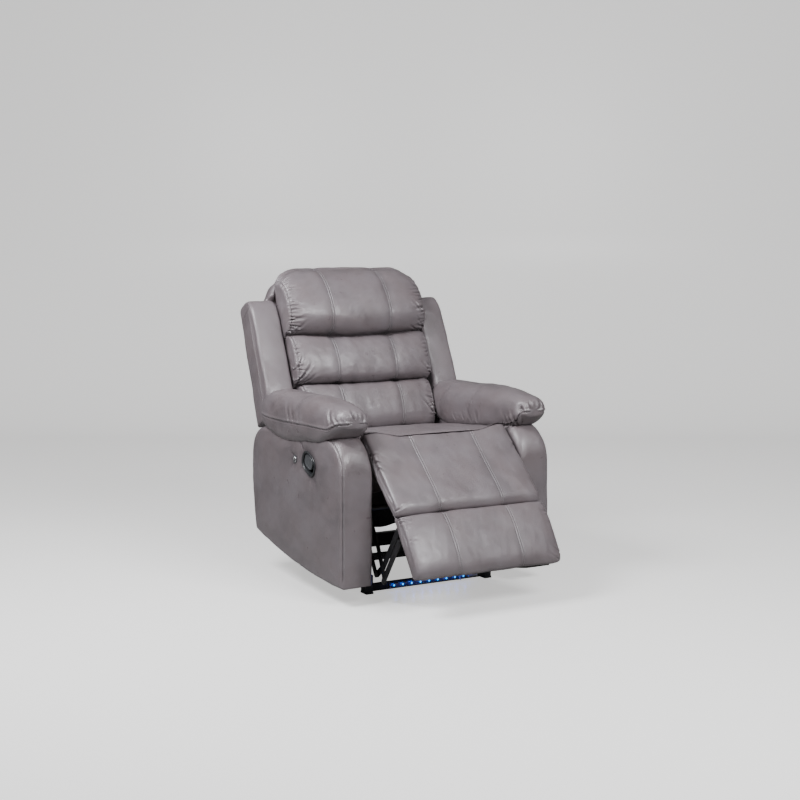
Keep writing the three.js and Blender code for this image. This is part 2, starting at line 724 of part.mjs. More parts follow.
for (const side of [RIGHT, LEFT]) {
  add(`arm_${sideName(side)}`, arm(side), GREY_LEATHER);
  add(`arm_pad_${sideName(side)}`, armPad(side), GREY_LEATHER);
  add(`lining_${sideName(side)}`, lining(side), DARK_CLOTH);
}
add("handle_bezel", handleBezel(), BLACK_PLASTIC);
add("lever_paddle", leverPaddle(), BLACK_PLASTIC);
add("button_bezel", buttonBezel(), BLACK_PLASTIC);
add("led_button", ledButton(), BRIGHT_STEEL);
add("release_cable", cable(cableRoute, CABLE_RADIUS), BLACK_PLASTIC);

// Seat
const swing = new THREE.Vector2(SWING_Y, SWING_Z);
const NOSE_SIDES = 96;
const asDrawn = (y, z) => new THREE.Vector2(y, z);
const SEAT_SHARES = [
  [0.046, 0], [0, 0.49], [0.008, 0.93], [0.11, 1], [0.32, 0.99], [0.63, 0.905],
  [0.88, 0.8], [0.987, 0.68], [1, 0.49], [0.987, 0.2], [0.956, 0],
];
const SEAT_SIDE_SHARES = [0.98, 0.84];

function seatCushion() {
  const outline = cushionOutline(
    SEAT_FRONT, SEAT_REAR - SEAT_FRONT, SEAT_BOTTOM, SEAT_TOP - SEAT_BOTTOM, SEAT_SHARES);
  const body = pillow(seatWidth, outline, asDrawn, SEAT_BOTTOM, ...SEAT_SIDE_SHARES);
  return body.subtract(rod(swing, NOSE_RADIUS + NOSE_GAP, [-seatWidth, seatWidth], NOSE_SIDES));
}
add("seat_cushion", seatCushion(), GREY_LEATHER);

// Leg rest: an upper panel whose nose turns inside the seat's edge, and a steeper lower one
const onUpper = leaning(swing, Math.PI + radians(UPPER_SLOPE), -1);
const groove = onUpper(UPPER_LENGTH, UPPER_FACE);
const onLower = leaning(groove, Math.PI + radians(LOWER_SLOPE), -1);
const UPPER_SHARES = [
  [0.01, 0], [0, 0.446], [0.015, 0.982], [0.186, 1], [0.359, 0.982], [0.566, 0.964],
  [0.772, 0.929], [0.91, 0.839], [0.979, 0.607], [1, 0.375], [0.979, 0.089], [0.928, 0],
];
const LOWER_SHARES = [
  [0, 0.55], [0.03, 0.83], [0.12, 0.93], [0.29, 1], [0.53, 1], [0.77, 0.93], [0.91, 0.79],
  [0.985, 0.55], [1, 0.31], [0.96, 0.07], [0.89, 0], [0.04, 0], [0.005, 0.26],
];
const REST_SIDE_SHARES = [0.95, 0.7];

function bridgePad() {
  const length = NOSE_RADIUS + UPPER_LENGTH - GROOVE_GAP;
  const depth = UPPER_BACK + UPPER_FACE + UPPER_CROWN;
  const outline = cushionOutline(-NOSE_RADIUS, length, -UPPER_BACK, depth, UPPER_SHARES);
  const nosed = outline.map((p) => (p.x < 0 ? p.clampLength(0, NOSE_RADIUS) : p));
  return pillow(restWidth, nosed, onUpper, -UPPER_BACK, ...REST_SIDE_SHARES);
}

function footrestPad() {
  const outline = cushionOutline(
    LOWER_START, LOWER_LENGTH, -LOWER_THICK, LOWER_THICK + LOWER_CROWN, LOWER_SHARES);
  return pillow(restWidth, outline, onLower, -LOWER_THICK, ...REST_SIDE_SHARES);
}

function restBoard(place, from, to, front) {
  const back = front - REST_BOARD_THICK;
  const half = restWidth / 2 - REST_BOARD_INSET;
  const corners = [place(from, back), place(to, back), place(to, front), place(from, front)];
  return plate(polygon(corners), [-half, half]);
}
const upperBoardFront = -UPPER_BACK - FIT_GAP;
const lowerBoardFront = -LOWER_THICK - FIT_GAP;
add("bridge_pad", bridgePad(), GREY_LEATHER);
add("footrest_pad", footrestPad(), GREY_LEATHER);
add("bridge_board", restBoard(onUpper, UPPER_BOARD_START, UPPER_BOARD_END, upperBoardFront), PLYWOOD);
add("footrest_board", restBoard(onLower, LOWER_BOARD_START, LOWER_BOARD_END, lowerBoardFront), PLYWOOD);

// Scissor links: two parallelograms, so the leg rest turns about the swing line
const pivotD = PIVOT_D;
const pivotE = pivotD.clone().add(REACH_DE);
const pivotC = pivotD.clone().add(REACH_DC);
const pivotF = pivotD.clone().add(REACH_DF);
const pivotB = swing.clone().sub(REACH_DE);
const pivotA = pivotB.clone().add(REACH_DC);
const pivotG = pivotE.clone().add(REACH_DF);
const knee = pivotD.clone().add(KNEE);
const BRACKET_LAYER = 3;
const UPPER_LAYER = 2;
const FRONT_LAYER = 1;
const LOWER_LAYER = 0;

// How far out a layer of links lies, inner and outer face; layer 0 is next to the seat plate.
function layer(n) {
  const outer = plateInner - LINK_GAP - n * (LINK_THICK + LINK_GAP);
  return [outer - LINK_THICK, outer];
}

function link(side, n, path, bores) {
  const shape = linkShape(path, LINK_HALF);
  for (const [at, radius] of bores) drill(shape, at, radius + PIN_GAP);
  return plate(shape, span(side, ...layer(n)));
}

// A pin that stands in from one layer through the next, with a head past it.
function pinInward(side, at, n) {
  const [inner] = layer(n + 1);
  const start = layer(n)[0] + LINK_THICK / 2;
  const head = inner - PIN_GAP;
  return rod(at, PIN_RADIUS, span(side, head - PIN_HEAD, start)).add(
    rod(at, PIN_HEAD_RADIUS, span(side, head - PIN_HEAD, head)));
}

// A pin that stands out from one layer to just past a farther one.
function pinOutward(side, at, n, reach) {
  return rod(at, PIN_RADIUS, span(side, layer(n)[1] - LINK_THICK / 2, reach));
}

function frontLink(side) {
  const end = layer(LOWER_LAYER)[1] + LINK_GAP - 2 * PIN_GAP;
  return link(side, FRONT_LAYER, [pivotB, knee, pivotD, pivotF], [[pivotB, STUB_RADIUS]])
    .add(pinInward(side, pivotD, FRONT_LAYER))
    .add(pinOutward(side, pivotF, FRONT_LAYER, end));
}

function rearLink(side) {
  return link(side, FRONT_LAYER, [pivotA, pivotC], [])
    .add(pinInward(side, pivotC, FRONT_LAYER))
    .add(pinOutward(side, pivotA, FRONT_LAYER, plateOuter + PIN_REACH));
}

function upperLink(side) {
  const bores = [pivotC, pivotD, pivotE].map((at) => [at, PIN_RADIUS]);
  return link(side, UPPER_LAYER, [pivotC, pivotD, pivotE], bores);
}

function lowerLink(side) {
  return link(side, LOWER_LAYER, [pivotF, pivotG], [[pivotF, PIN_RADIUS], [pivotG, PIN_RADIUS]]);
}

function footrestBracket(side) {
  const x = span(side, ...layer(BRACKET_LAYER));
  const lowerBack = lowerBoardFront - REST_BOARD_THICK - FIT_GAP;
  const upperBack = upperBoardFront - REST_BOARD_THICK - FIT_GAP;
  const lowerFlange = polygon([
    onLower(LOWER_BOARD_START, lowerBack),
    onLower(FLANGE_LOWER_END, lowerBack),
    onLower(FLANGE_LOWER_END, lowerBack - FLANGE_LIP),
    pivotG,
    pivotE,
  ]);
  const upperFlange = polygon([
    onUpper(FLANGE_UPPER_END, upperBack),
    onUpper(FLANGE_UPPER_START, upperBack),
    onUpper(FLANGE_UPPER_START, upperBack - FLANGE_LIP),
    pivotE,
  ]);
  const end = layer(UPPER_LAYER)[1] + LINK_GAP - 2 * PIN_GAP;
  const farEnd = layer(LOWER_LAYER)[1] + LINK_GAP - 2 * PIN_GAP;
  return plate(linkShape([pivotE, pivotG], FLANGE_BOSS), x)
    .add(plate(lowerFlange, x))
    .add(plate(upperFlange, x))
    .add(pinOutward(side, pivotE, BRACKET_LAYER, end))
    .add(pinOutward(side, pivotG, BRACKET_LAYER, farEnd));
}

for (const side of [RIGHT, LEFT]) {
  add(`front_link_${sideName(side)}`, frontLink(side), BLACK_STEEL);
  add(`rear_link_${sideName(side)}`, rearLink(side), BLACK_STEEL);
  add(`upper_link_${sideName(side)}`, upperLink(side), BLACK_STEEL);
  add(`lower_link_${sideName(side)}`, lowerLink(side), BLACK_STEEL);
  add(`footrest_bracket_${sideName(side)}`, footrestBracket(side), BLACK_STEEL);
}

function torqueTube() {
  const end = layer(FRONT_LAYER)[0] - PIN_GAP;
  const stub = plateOuter + PIN_REACH;
  return rod(pivotB, TUBE_RADIUS, [-end, end]).add(rod(pivotB, STUB_RADIUS, [-stub, stub]));
}
add("torque_tube", torqueTube(), BLACK_STEEL);

// Seat plates, which carry the links, the seat and the back's hinge
function seatPlate(side) {
  const lean = REACH_DC.angle() - Math.PI / 2;
  const shape = new THREE.Shape();
  shape.moveTo(pivotB.x - PLATE_LOBE, PLATE_TOP);
  shape.lineTo(pivotB.x - PLATE_LOBE, pivotB.y);
  shape.absarc(pivotB.x, pivotB.y, PLATE_LOBE, Math.PI, lean, false);
  shape.absarc(pivotA.x, pivotA.y, PLATE_LOBE, lean, 1.5 * Math.PI, false);
  shape.lineTo(PLATE_FOOT_FRONT, PLATE_BOTTOM);
  shape.lineTo(PLATE_FOOT_REAR, PLATE_BOTTOM);
  shape.absarc(HINGE.x, HINGE.y, PLATE_HINGE_LOBE, -Math.PI / 4, Math.PI / 2, false);
  shape.lineTo(SEAT_REAR, PLATE_TOP);
  drill(shape, pivotA, PIN_RADIUS + PIN_GAP);
  drill(shape, pivotB, STUB_RADIUS + PIN_GAP);
  drill(shape, HINGE, HINGE_RADIUS + PIN_GAP);
  const shoe = block(
    span(side, plateOuter - PLATE_THICK / 2, armInner - FIT_GAP - RAIL_WEB - SHOE_GAP),
    [SHOE_FRONT, SHOE_FRONT + SHOE_LENGTH],
    [SHOE_LIFT, SHOE_LIFT + SHOE_HEIGHT],
  );
  const body = plate(shape, span(side, plateInner, plateOuter)).add(shoe);
  if (side === LEFT) return body;
  const pinEnd = plateOuter + FIT_GAP + LINK_THICK + PIN_GAP;
  return body.add(rod(LATCH, LATCH_PIN, span(side, plateOuter - PLATE_THICK / 2, pinEnd)));
}

function releaseLatch() {
  const shape = linkShape([LATCH, LATCH.clone().add(LATCH_REACH)], LATCH_HALF);
  drill(shape, LATCH, LATCH_PIN + PIN_GAP);
  return plate(shape, span(RIGHT, plateOuter + FIT_GAP, plateOuter + FIT_GAP + LINK_THICK));
}

function seatRail(front) {
  const half = plateInner - FIT_GAP;
  const top = SEAT_BOTTOM - 2 * FIT_GAP - 2 * SPRING_WIRE;
  return block([-half, half], [front, front + SEAT_RAIL_DEPTH], [top - SEAT_RAIL_HEIGHT, top]);
}

const WIRE_SIDES = 4;
const WAVE_STEPS = 6;

// A wire of a few sides through points in one level plane.
function sweep(points, radius) {
  return loft(
    points.map((p, i) => {
      const ahead = points[Math.min(i + 1, points.length - 1)];
      const behind = points[Math.max(i - 1, 0)];
      const heading = ahead.clone().sub(behind).normalize();
      const across = new THREE.Vector3(heading.y, -heading.x, 0);
      return Array.from({ length: WIRE_SIDES }, (_, k) => {
        const turn = (2 * Math.PI * k) / WIRE_SIDES;
        const lift = radius * Math.sin(turn);
        return p.clone().addScaledVector(across, radius * Math.cos(turn)).addScaledVector(ALONG_Z, lift);
      });
    }),
  );
}

// Zigzag wires from rail to rail, clipped together by straight ties.
function seatSprings() {
  const height = SEAT_BOTTOM - FIT_GAP - SPRING_WIRE;
  const from = SEAT_RAIL_FRONT + SPRING_WIRE;
  const to = SEAT_RAIL_REAR + SEAT_RAIL_DEPTH - SPRING_WIRE;
  const reach = plateInner - SPRING_SIDE_GAP;
  const pitch = (2 * (reach - SPRING_AMPLITUDE)) / (SPRING_COUNT - 1);
  const wires = Array.from({ length: SPRING_COUNT }, (_, i) => {
    const x = (i - (SPRING_COUNT - 1) / 2) * pitch;
    const count = WAVE_STEPS * SPRING_TURNS;
    const points = Array.from({ length: count + 1 }, (__, j) => {
      const turn = (2 * Math.PI * j) / WAVE_STEPS;
      const y = THREE.MathUtils.lerp(from, to, j / count);
      return new THREE.Vector3(x + SPRING_AMPLITUDE * Math.sin(turn), y, height);
    });
    return sweep(points, SPRING_WIRE);
  });
  for (let i = 0; i < SPRING_TIES; i++) {
    const y = (from + to) / 2 + (i - (SPRING_TIES - 1) / 2) * SPRING_TIE_PITCH;
    wires.push(rod(new THREE.Vector2(y, height), SPRING_WIRE, [-reach, reach], WIRE_SIDES));
  }
  return wires.reduce((all, wire) => all.add(wire));
}

for (const side of [RIGHT, LEFT]) add(`seat_plate_${sideName(side)}`, seatPlate(side), BLACK_STEEL);
add("release_latch", releaseLatch(), BLACK_STEEL);
add("seat_rail_front", seatRail(SEAT_RAIL_FRONT), BLACK_STEEL);
add("seat_rail_rear", seatRail(SEAT_RAIL_REAR), BLACK_STEEL);
add("seat_springs", seatSprings(), SPRING_STEEL);

// Base: a rail on each side that the seat's shoes run in, and tubes across
const webInner = armInner - FIT_GAP - RAIL_WEB;
const webOuter = armInner - FIT_GAP;
const rearTubeTop = REAR_TUBE_LIFT + REAR_TUBE_HEIGHT;
const midTubeLift = SIDE_RAIL_LIFT + SIDE_RAIL_HEIGHT + FIT_GAP;
const midTubeTop = midTubeLift + MID_TUBE_HEIGHT;

function slideRail(side) {
  const bottom = SHOE_LIFT - SHOE_GAP - RAIL_WALL;
  const along = [RAIL_FRONT, REAR_TUBE_Y + REAR_TUBE_DEPTH];
  const lip = plateOuter + PIN_REACH + PIN_GAP;
  return block(span(side, webInner, webOuter), along, [bottom, railTop])
    .add(block(span(side, lip, webOuter), along, [bottom, bottom + RAIL_WALL]))
    .add(block(span(side, lip, webOuter), along, [railTop - RAIL_WALL, railTop]))
    .add(block(span(side, webInner, webOuter), [MID_TUBE_Y, MID_TUBE_Y + MID_TUBE_DEPTH],
      [midTubeTop + FIT_GAP, bottom + RAIL_WALL]))
    .add(block(span(side, webInner, webOuter), [REAR_TUBE_Y, REAR_TUBE_Y + REAR_TUBE_DEPTH],
      [rearTubeTop + FIT_GAP, bottom + RAIL_WALL]));
}

function sideRail(side) {
  return block(
    span(side, sideRailInner, sideRailInner + SIDE_RAIL_WIDTH),
    [FRONT_TUBE_Y, REAR_TUBE_Y - FIT_GAP],
    [SIDE_RAIL_LIFT, SIDE_RAIL_LIFT + SIDE_RAIL_HEIGHT],
  );
}

// A foot with a flared sole, from the floor up to what it carries.
function foot(side, y, length, top) {
  const x = span(side, sideRailInner, sideRailInner + FOOT_WIDTH);
  const post = block(x, [y, y + length], [FOOT_FLARE, top - FIT_GAP]);
  const sole = block(x, [y - FOOT_FLARE, y + length + FOOT_FLARE], [0, 2 * FOOT_FLARE]);
  return post.add(sole);
}

for (const side of [RIGHT, LEFT]) {
  add(`slide_rail_${sideName(side)}`, slideRail(side), BLACK_STEEL);
  add(`side_rail_${sideName(side)}`, sideRail(side), BLACK_STEEL);
  const frontFoot = foot(side, FRONT_TUBE_Y, FOOT_LENGTH, SIDE_RAIL_LIFT);
  const rearFoot = foot(side, REAR_TUBE_Y, REAR_TUBE_DEPTH, REAR_TUBE_LIFT);
  add(`foot_front_${sideName(side)}`, frontFoot, BLACK_PLASTIC);
  add(`foot_rear_${sideName(side)}`, rearFoot, BLACK_PLASTIC);
}

function tube(half, y, depth, lift, height) {
  return block([-half, half], [y, y + depth], [lift, lift + height]);
}
const frontTube = tube(
  sideRailInner - FIT_GAP, FRONT_TUBE_Y, FRONT_TUBE_DEPTH, FRONT_TUBE_LIFT, FRONT_TUBE_HEIGHT);
add("front_tube", frontTube, BLACK_STEEL);
add("mid_tube", tube(webOuter, MID_TUBE_Y, MID_TUBE_DEPTH, midTubeLift, MID_TUBE_HEIGHT), BLACK_STEEL);
const rearTube = tube(webOuter, REAR_TUBE_Y, REAR_TUBE_DEPTH, REAR_TUBE_LIFT, REAR_TUBE_HEIGHT);
const skirt = tube(webOuter, SKIRT_Y, SKIRT_THICK, SKIRT_BOTTOM, SKIRT_TOP - SKIRT_BOTTOM);
add("rear_tube", rearTube, BLACK_STEEL);
add("rear_skirt", skirt, DARK_CLOTH);

// Light: a strip of lights in an open channel on the front tube
const lightHalf = ((LIGHT_COUNT - 1) / 2) * LIGHT_PITCH + STRIP_END;
const stripSpan = [LIGHT_OFFSET - lightHalf, LIGHT_OFFSET + lightHalf + STRIP_TAIL];
const lightHeight = FRONT_TUBE_LIFT + FRONT_TUBE_HEIGHT / 2;
const channelBack = FRONT_TUBE_Y - FIT_GAP;

function ledChannel() {
  const half = STRIP_HEIGHT / 2 + FIT_GAP;
  const front = channelBack - CHANNEL_DEPTH;
  const floor = channelBack - CHANNEL_WALL;
  const profile = [
    [channelBack, half + CHANNEL_WALL], [front, half + CHANNEL_WALL], [front, half], [floor, half],
    [floor, -half], [front, -half], [front, -half - CHANNEL_WALL], [channelBack, -half - CHANNEL_WALL],
  ];
  return plate(polygon(profile.map(([y, z]) => asDrawn(y, lightHeight + z))), stripSpan);
}

function ledStrip() {
  const back = channelBack - CHANNEL_WALL - FIT_GAP;
  const front = back - STRIP_THICK;
  const reach = [-STRIP_HEIGHT / 2, STRIP_HEIGHT / 2].map((z) => lightHeight + z);
  let strip = block(stripSpan, [front, back], reach);
  for (let i = 0; i < LIGHT_COUNT; i++) {
    const x = LIGHT_OFFSET + (i - (LIGHT_COUNT - 1) / 2) * LIGHT_PITCH;
    const light = block(
      [x - LIGHT_SIZE / 2, x + LIGHT_SIZE / 2],
      [front - LIGHT_PROUD, front + STRIP_THICK / 2],
      [lightHeight - LIGHT_SIZE / 2, lightHeight + LIGHT_SIZE / 2],
    );
    strip = strip.add(light);
  }
  return strip;
}
add("led_channel", ledChannel(), ALUMINIUM);
add("led_strip", ledStrip(), LIGHT_STRIP);
const driver = tube(DRIVER_WIDTH / 2, MID_TUBE_Y, MID_TUBE_DEPTH, midTubeTop + FIT_GAP, DRIVER_HEIGHT);
add("led_driver", driver, BLACK_PLASTIC);

// Back: a padded panel with a tongue down behind the seat, a frame, wings and three pillows. The
// padding behind the panel ends level over the arms, as the wings do.
const onBack = leaning(BACK_FOOT, Math.PI / 2 - radians(BACK_LEAN), 1);
const frameBack = PANEL_THICK + FIT_GAP;
const frameFront = frameBack + FRAME_THICK;
const pillowBack = frameFront + FIT_GAP;
const backHalf = armOuter - BACK_SIDE_INSET;
const crownHalf = backHalf - CROWN_SIDE_STEP;
const wingInner = backHalf - WING_WIDTH;
const frameOuter = plateInner - FRAME_SIDE_GAP;
const frameTop = BACK_CROWN_HEIGHT - FRAME_TOP_DROP;

function backPanel() {
  const shoulder = BACK_HEIGHT - PANEL_CORNER;
  const shape = new THREE.Shape();
  shape.moveTo(-backHalf, 0);
  shape.lineTo(backHalf, 0);
  shape.lineTo(backHalf, shoulder);
  shape.quadraticCurveTo(backHalf, BACK_HEIGHT, backHalf - PANEL_CORNER, BACK_HEIGHT);
  shape.bezierCurveTo(crownHalf + PANEL_CORNER, BACK_HEIGHT + PANEL_CORNER / 2,
    crownHalf, BACK_CROWN_HEIGHT, crownHalf - PANEL_CORNER, BACK_CROWN_HEIGHT);
  shape.lineTo(PANEL_CORNER - crownHalf, BACK_CROWN_HEIGHT);
  shape.bezierCurveTo(-crownHalf, BACK_CROWN_HEIGHT, -crownHalf - PANEL_CORNER,
    BACK_HEIGHT + PANEL_CORNER / 2, PANEL_CORNER - backHalf, BACK_HEIGHT);
  shape.quadraticCurveTo(-backHalf, BACK_HEIGHT, -backHalf, shoulder);
  const panel = new THREE.ExtrudeGeometry(shape, {
    depth: PANEL_THICK, bevelEnabled: false, curveSegments: ARC_STEPS });
  const padding = new THREE.ExtrudeGeometry(shape, {
    depth: REAR_PAD_THICK - REAR_PAD_ROUND, curveSegments: ARC_STEPS, bevelSegments: 2,
    bevelThickness: REAR_PAD_ROUND, bevelSize: REAR_PAD_ROUND, bevelOffset: -REAR_PAD_ROUND });
  padding.translate(0, 0, REAR_PAD_ROUND - REAR_PAD_THICK);
  const up = new THREE.Vector3(0, Math.sin(radians(BACK_LEAN)), Math.cos(radians(BACK_LEAN)));
  for (const geometry of [panel, padding]) {
    geometry.applyMatrix4(new THREE.Matrix4().makeBasis(ALONG_X, up, ALONG_X.clone().cross(up)));
    geometry.translate(0, BACK_FOOT.x, BACK_FOOT.y);
  }
  const below = block([-2 * backHalf, 2 * backHalf], [0, BACK_FOOT.x + BACK_HEIGHT], [0, WING_FOOT_Z]);
  const front = BACK_FOOT.x - PANEL_THICK;
  const tongue = [
    onBack(0, 0), asDrawn(BACK_FOOT.x, TONGUE_BOTTOM), asDrawn(front, TONGUE_BOTTOM),
    asDrawn(front, BACK_FOOT.y), onBack(PANEL_THICK, PANEL_THICK), onBack(PANEL_THICK, 0),
  ];
  return solid(padding)
    .subtract(below)
    .add(solid(panel))
    .add(plate(polygon(tongue), [TONGUE_SIDE_GAP - armInner, armInner - TONGUE_SIDE_GAP]));
}

const WING_STEPS = 34;
const WING_FRONT_SHARES = [[0.01, 0.5], [0.19, 1], [0.47, 0.89], [0.84, 0.74], [0.98, 0.35], [1, 0]];

// A flat wing at the back's edge. Its foot is level where the back stands upright over the arm.
function wing(side) {
  const footAt = (depth) => {
    const low = onBack(0, depth);
    return (WING_FOOT_Z - low.y) / Math.cos(radians(BACK_LEAN));
  };
  const back = frameBack;
  const height = BACK_HEIGHT;
  const front = WING_FRONT_SHARES.map(([s, d]) => [height * s, back + WING_DEPTH * d]);
  const toe = back + WING_DEPTH * WING_FRONT_SHARES[0][1];
  const shape = new THREE.Path();
  shape.moveTo(footAt(back), back);
  shape.lineTo(footAt(toe), toe);
  shape.splineThru(front.map(([s, d]) => new THREE.Vector2(s, d)));
  shape.closePath();
  const points = shape.getSpacedPoints(WING_STEPS).slice(0, -1);
  for (const p of points) p.y = Math.max(p.y, back);
  return paddedPlate(points, onBack, span(side, wingInner, backHalf), WING_EDGE);
}

function backFrame(side) {
  const knee = onBack(FRAME_KNEE, frameFront);
  const shape = polygon([
    onBack(frameTop, frameBack),
    onBack(frameTop, frameFront),
    knee,
    asDrawn(knee.x, FRAME_BOTTOM),
    asDrawn(BACK_FOOT.x - PANEL_THICK - FIT_GAP, FRAME_BOTTOM),
    asDrawn(BACK_FOOT.x - PANEL_THICK - FIT_GAP, BACK_FOOT.y + PANEL_THICK / 4),
    onBack(PANEL_THICK, frameBack),
  ]);
  return plate(shape, span(side, frameOuter - FRAME_WIDTH, frameOuter));
}

function backRail(at) {
  const half = frameOuter - FRAME_WIDTH - FIT_GAP;
  const corners = [
    onBack(at, frameBack), onBack(at, frameFront),
    onBack(at + BACK_RAIL_WIDTH, frameFront), onBack(at + BACK_RAIL_WIDTH, frameBack),
  ];
  return plate(polygon(corners), [-half, half]);
}

// A steel strap on the back's frame, with a pin through the seat plate's rear lobe.
function backBracket(side) {
  const inner = frameOuter + FIT_GAP;
  const outer = inner + BRACKET_THICK;
  const rear = BACK_FOOT.x - PANEL_THICK - FIT_GAP;
  const shape = new THREE.Shape();
  shape.absarc(HINGE.x, HINGE.y, HINGE_LOBE, Math.PI, 2 * Math.PI, false);
  shape.lineTo(rear, TONGUE_BOTTOM - HINGE_BOSS);
  shape.lineTo(rear, BRACKET_TOP);
  shape.lineTo(rear - BRACKET_WIDTH, BRACKET_TOP);
  return plate(shape, span(side, inner, outer))
    .add(rod(HINGE, HINGE_BOSS, span(side, inner, plateInner - PIN_GAP)))
    .add(rod(HINGE, HINGE_RADIUS, span(side, inner, plateOuter + PIN_REACH)));
}

const BACK_SIDE_SHARES = [0.9, 0.5];
const HEADREST_SHARES = [
  [0.03, 0], [0, 0.41], [0.06, 0.77], [0.23, 1], [0.475, 0.98], [0.72, 0.82], [0.91, 0.57],
  [1, 0.3], [0.99, 0.05],
];
const MID_SHARES = [
  [0.05, 0], [0, 0.4], [0.035, 0.69], [0.145, 0.91], [0.41, 1], [0.7, 0.955], [0.92, 0.78],
  [1, 0.54], [0.975, 0.12],
];
const LOW_SHARES = [
  [0.11, 0], [0, 0.16], [0.012, 0.38], [0.068, 0.7], [0.26, 0.93], [0.58, 1], [0.864, 0.91],
  [0.985, 0.68], [1, 0.38], [0.96, 0.075],
];

function backPillow(width, start, length, depth, shares) {
  const outline = cushionOutline(start, length, pillowBack, depth, shares);
  return pillow(width, outline, onBack, pillowBack, ...BACK_SIDE_SHARES);
}

add("back_panel", backPanel(), GREY_LEATHER);
for (const side of [RIGHT, LEFT]) {
  add(`wing_${sideName(side)}`, wing(side), GREY_LEATHER);
  add(`back_frame_${sideName(side)}`, backFrame(side), PLYWOOD);
  add(`back_bracket_${sideName(side)}`, backBracket(side), BLACK_STEEL);
}
add("back_rail_top", backRail(BACK_CROWN_HEIGHT - RAIL_TOP_DROP), PLYWOOD);
add("back_rail_low", backRail(RAIL_LOW_S), PLYWOOD);
const headrest = backPillow(
  2 * (wingInner - HEADREST_SIDE_GAP), HEADREST_START, HEADREST_LENGTH, HEADREST_DEPTH, HEADREST_SHARES);
const midPillow = backPillow(
  2 * (wingInner - PILLOW_SIDE_GAP), MID_START, MID_LENGTH, MID_DEPTH, MID_SHARES);
const lowPillow = backPillow(
  ARM_CLEAR_WIDTH - 2 * LOW_SIDE_GAP, LOW_START, LOW_LENGTH, LOW_DEPTH, LOW_SHARES);
add("headrest", headrest, GREY_LEATHER);
add("back_cushion_mid", midPillow, GREY_LEATHER);
add("back_cushion_low", lowPillow, GREY_LEATHER);

// The chair's own frame has its middle, front to rear, at zero.
chair.updateMatrixWorld(true);
const reach = new THREE.Box3().setFromObject(chair);
chair.position.y = -(reach.min.y + reach.max.y) / 2;

export default chair;
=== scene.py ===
"""A pillow-arm recliner in grey leather, dressed around its solid model. Lengths are metres,
+Z is up, the chair faces -Y, and left and right are the sitter's, so right is -X."""

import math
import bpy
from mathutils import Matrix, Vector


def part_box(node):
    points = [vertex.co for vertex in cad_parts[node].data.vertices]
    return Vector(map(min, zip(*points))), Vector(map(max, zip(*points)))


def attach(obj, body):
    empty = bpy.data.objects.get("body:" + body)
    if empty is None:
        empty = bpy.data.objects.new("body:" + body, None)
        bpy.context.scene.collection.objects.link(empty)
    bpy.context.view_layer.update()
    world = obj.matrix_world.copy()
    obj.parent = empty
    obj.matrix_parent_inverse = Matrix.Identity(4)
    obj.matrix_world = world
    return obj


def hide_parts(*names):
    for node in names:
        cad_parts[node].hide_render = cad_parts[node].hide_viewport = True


bl_info = {
    "name": "Pillow-arm recliner",
    "version": (1, 0, 0),
    "blender": (4, 5, 0),
    "location": "View3D > Sidebar > Recliner",
    "description": "Leather, seams, cloth, handle and light strip of a recliner armchair",
    "category": "Object",
}

import bpy
import numpy as np
from bpy.props import FloatProperty, FloatVectorProperty, PointerProperty
from mathutils import Vector

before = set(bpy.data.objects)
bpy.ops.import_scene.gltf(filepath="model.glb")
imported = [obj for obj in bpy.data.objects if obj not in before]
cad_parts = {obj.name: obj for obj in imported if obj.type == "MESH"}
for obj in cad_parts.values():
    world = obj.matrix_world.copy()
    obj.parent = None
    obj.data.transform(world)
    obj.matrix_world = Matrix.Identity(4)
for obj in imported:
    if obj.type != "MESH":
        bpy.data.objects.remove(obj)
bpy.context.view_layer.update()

RIGHT = -1
LEFT = 1
SIDES = ((RIGHT, "right"), (LEFT, "left"))
TURN = 2 * math.pi
# The drawing's lengths run back from the arms' fronts, which lie here in the chair's own frame
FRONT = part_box("arm_right")[0].y


# Shapes as arrays


def bezier(*points, count):
    """Points on a Bezier curve of any order, at equal steps of its parameter, without the last:
    the sum of the corners, each weighted by its Bernstein polynomial."""
    corners = np.array(points, float)
    order = len(corners) - 1
    t = np.linspace(0, 1, count, endpoint=False)[:, None]
    weights = [math.comb(order, k) * t**k * (1 - t) ** (order - k) for k in range(order + 1)]
    return sum(w * corner for w, corner in zip(weights, corners))


def smooth_path(points, count, closed=False, fine=24):
    """Points at equal steps of length on the Catmull-Rom curve through the given ones: each span
    is the cubic whose slope at a point is half the chord between that point's neighbours."""
    p = np.asarray(points, float)
    if closed:
        p = np.vstack([p[-1], p, p[0], p[1]])
    else:
        p = np.vstack([2 * p[0] - p[1], p, 2 * p[-1] - p[-2]])
    a, b, c, d = (q[:, None] for q in (p[:-3], p[1:-2], p[2:-1], p[3:]))
    t = np.linspace(0, 1, fine, endpoint=False)[None, :, None]
    bend = 2 * a - 5 * b + 4 * c - d
    curve = b + 0.5 * ((c - a) * t + bend * t**2 + (3 * b - a - 3 * c + d) * t**3)
    curve = np.vstack([curve.reshape(-1, p.shape[1]), p[-2]])
    run = run_along(curve)
    at = np.linspace(0, run[-1], count, endpoint=not closed)
    return np.stack([np.interp(at, run, column) for column in curve.T], 1)


def run_along(points):
    """Length along a line of points, from the first one to each."""
    return np.append(0, np.cumsum(np.linalg.norm(np.diff(points, axis=0), axis=1)))


# Steps from a seam to both its sides, close together near it, and the least step that is kept
FINE_STEPS = np.array([0.0, 0.0008, 0.0017, 0.0028, 0.0042, 0.0062, 0.009])
LEAST_STEP = 0.0006


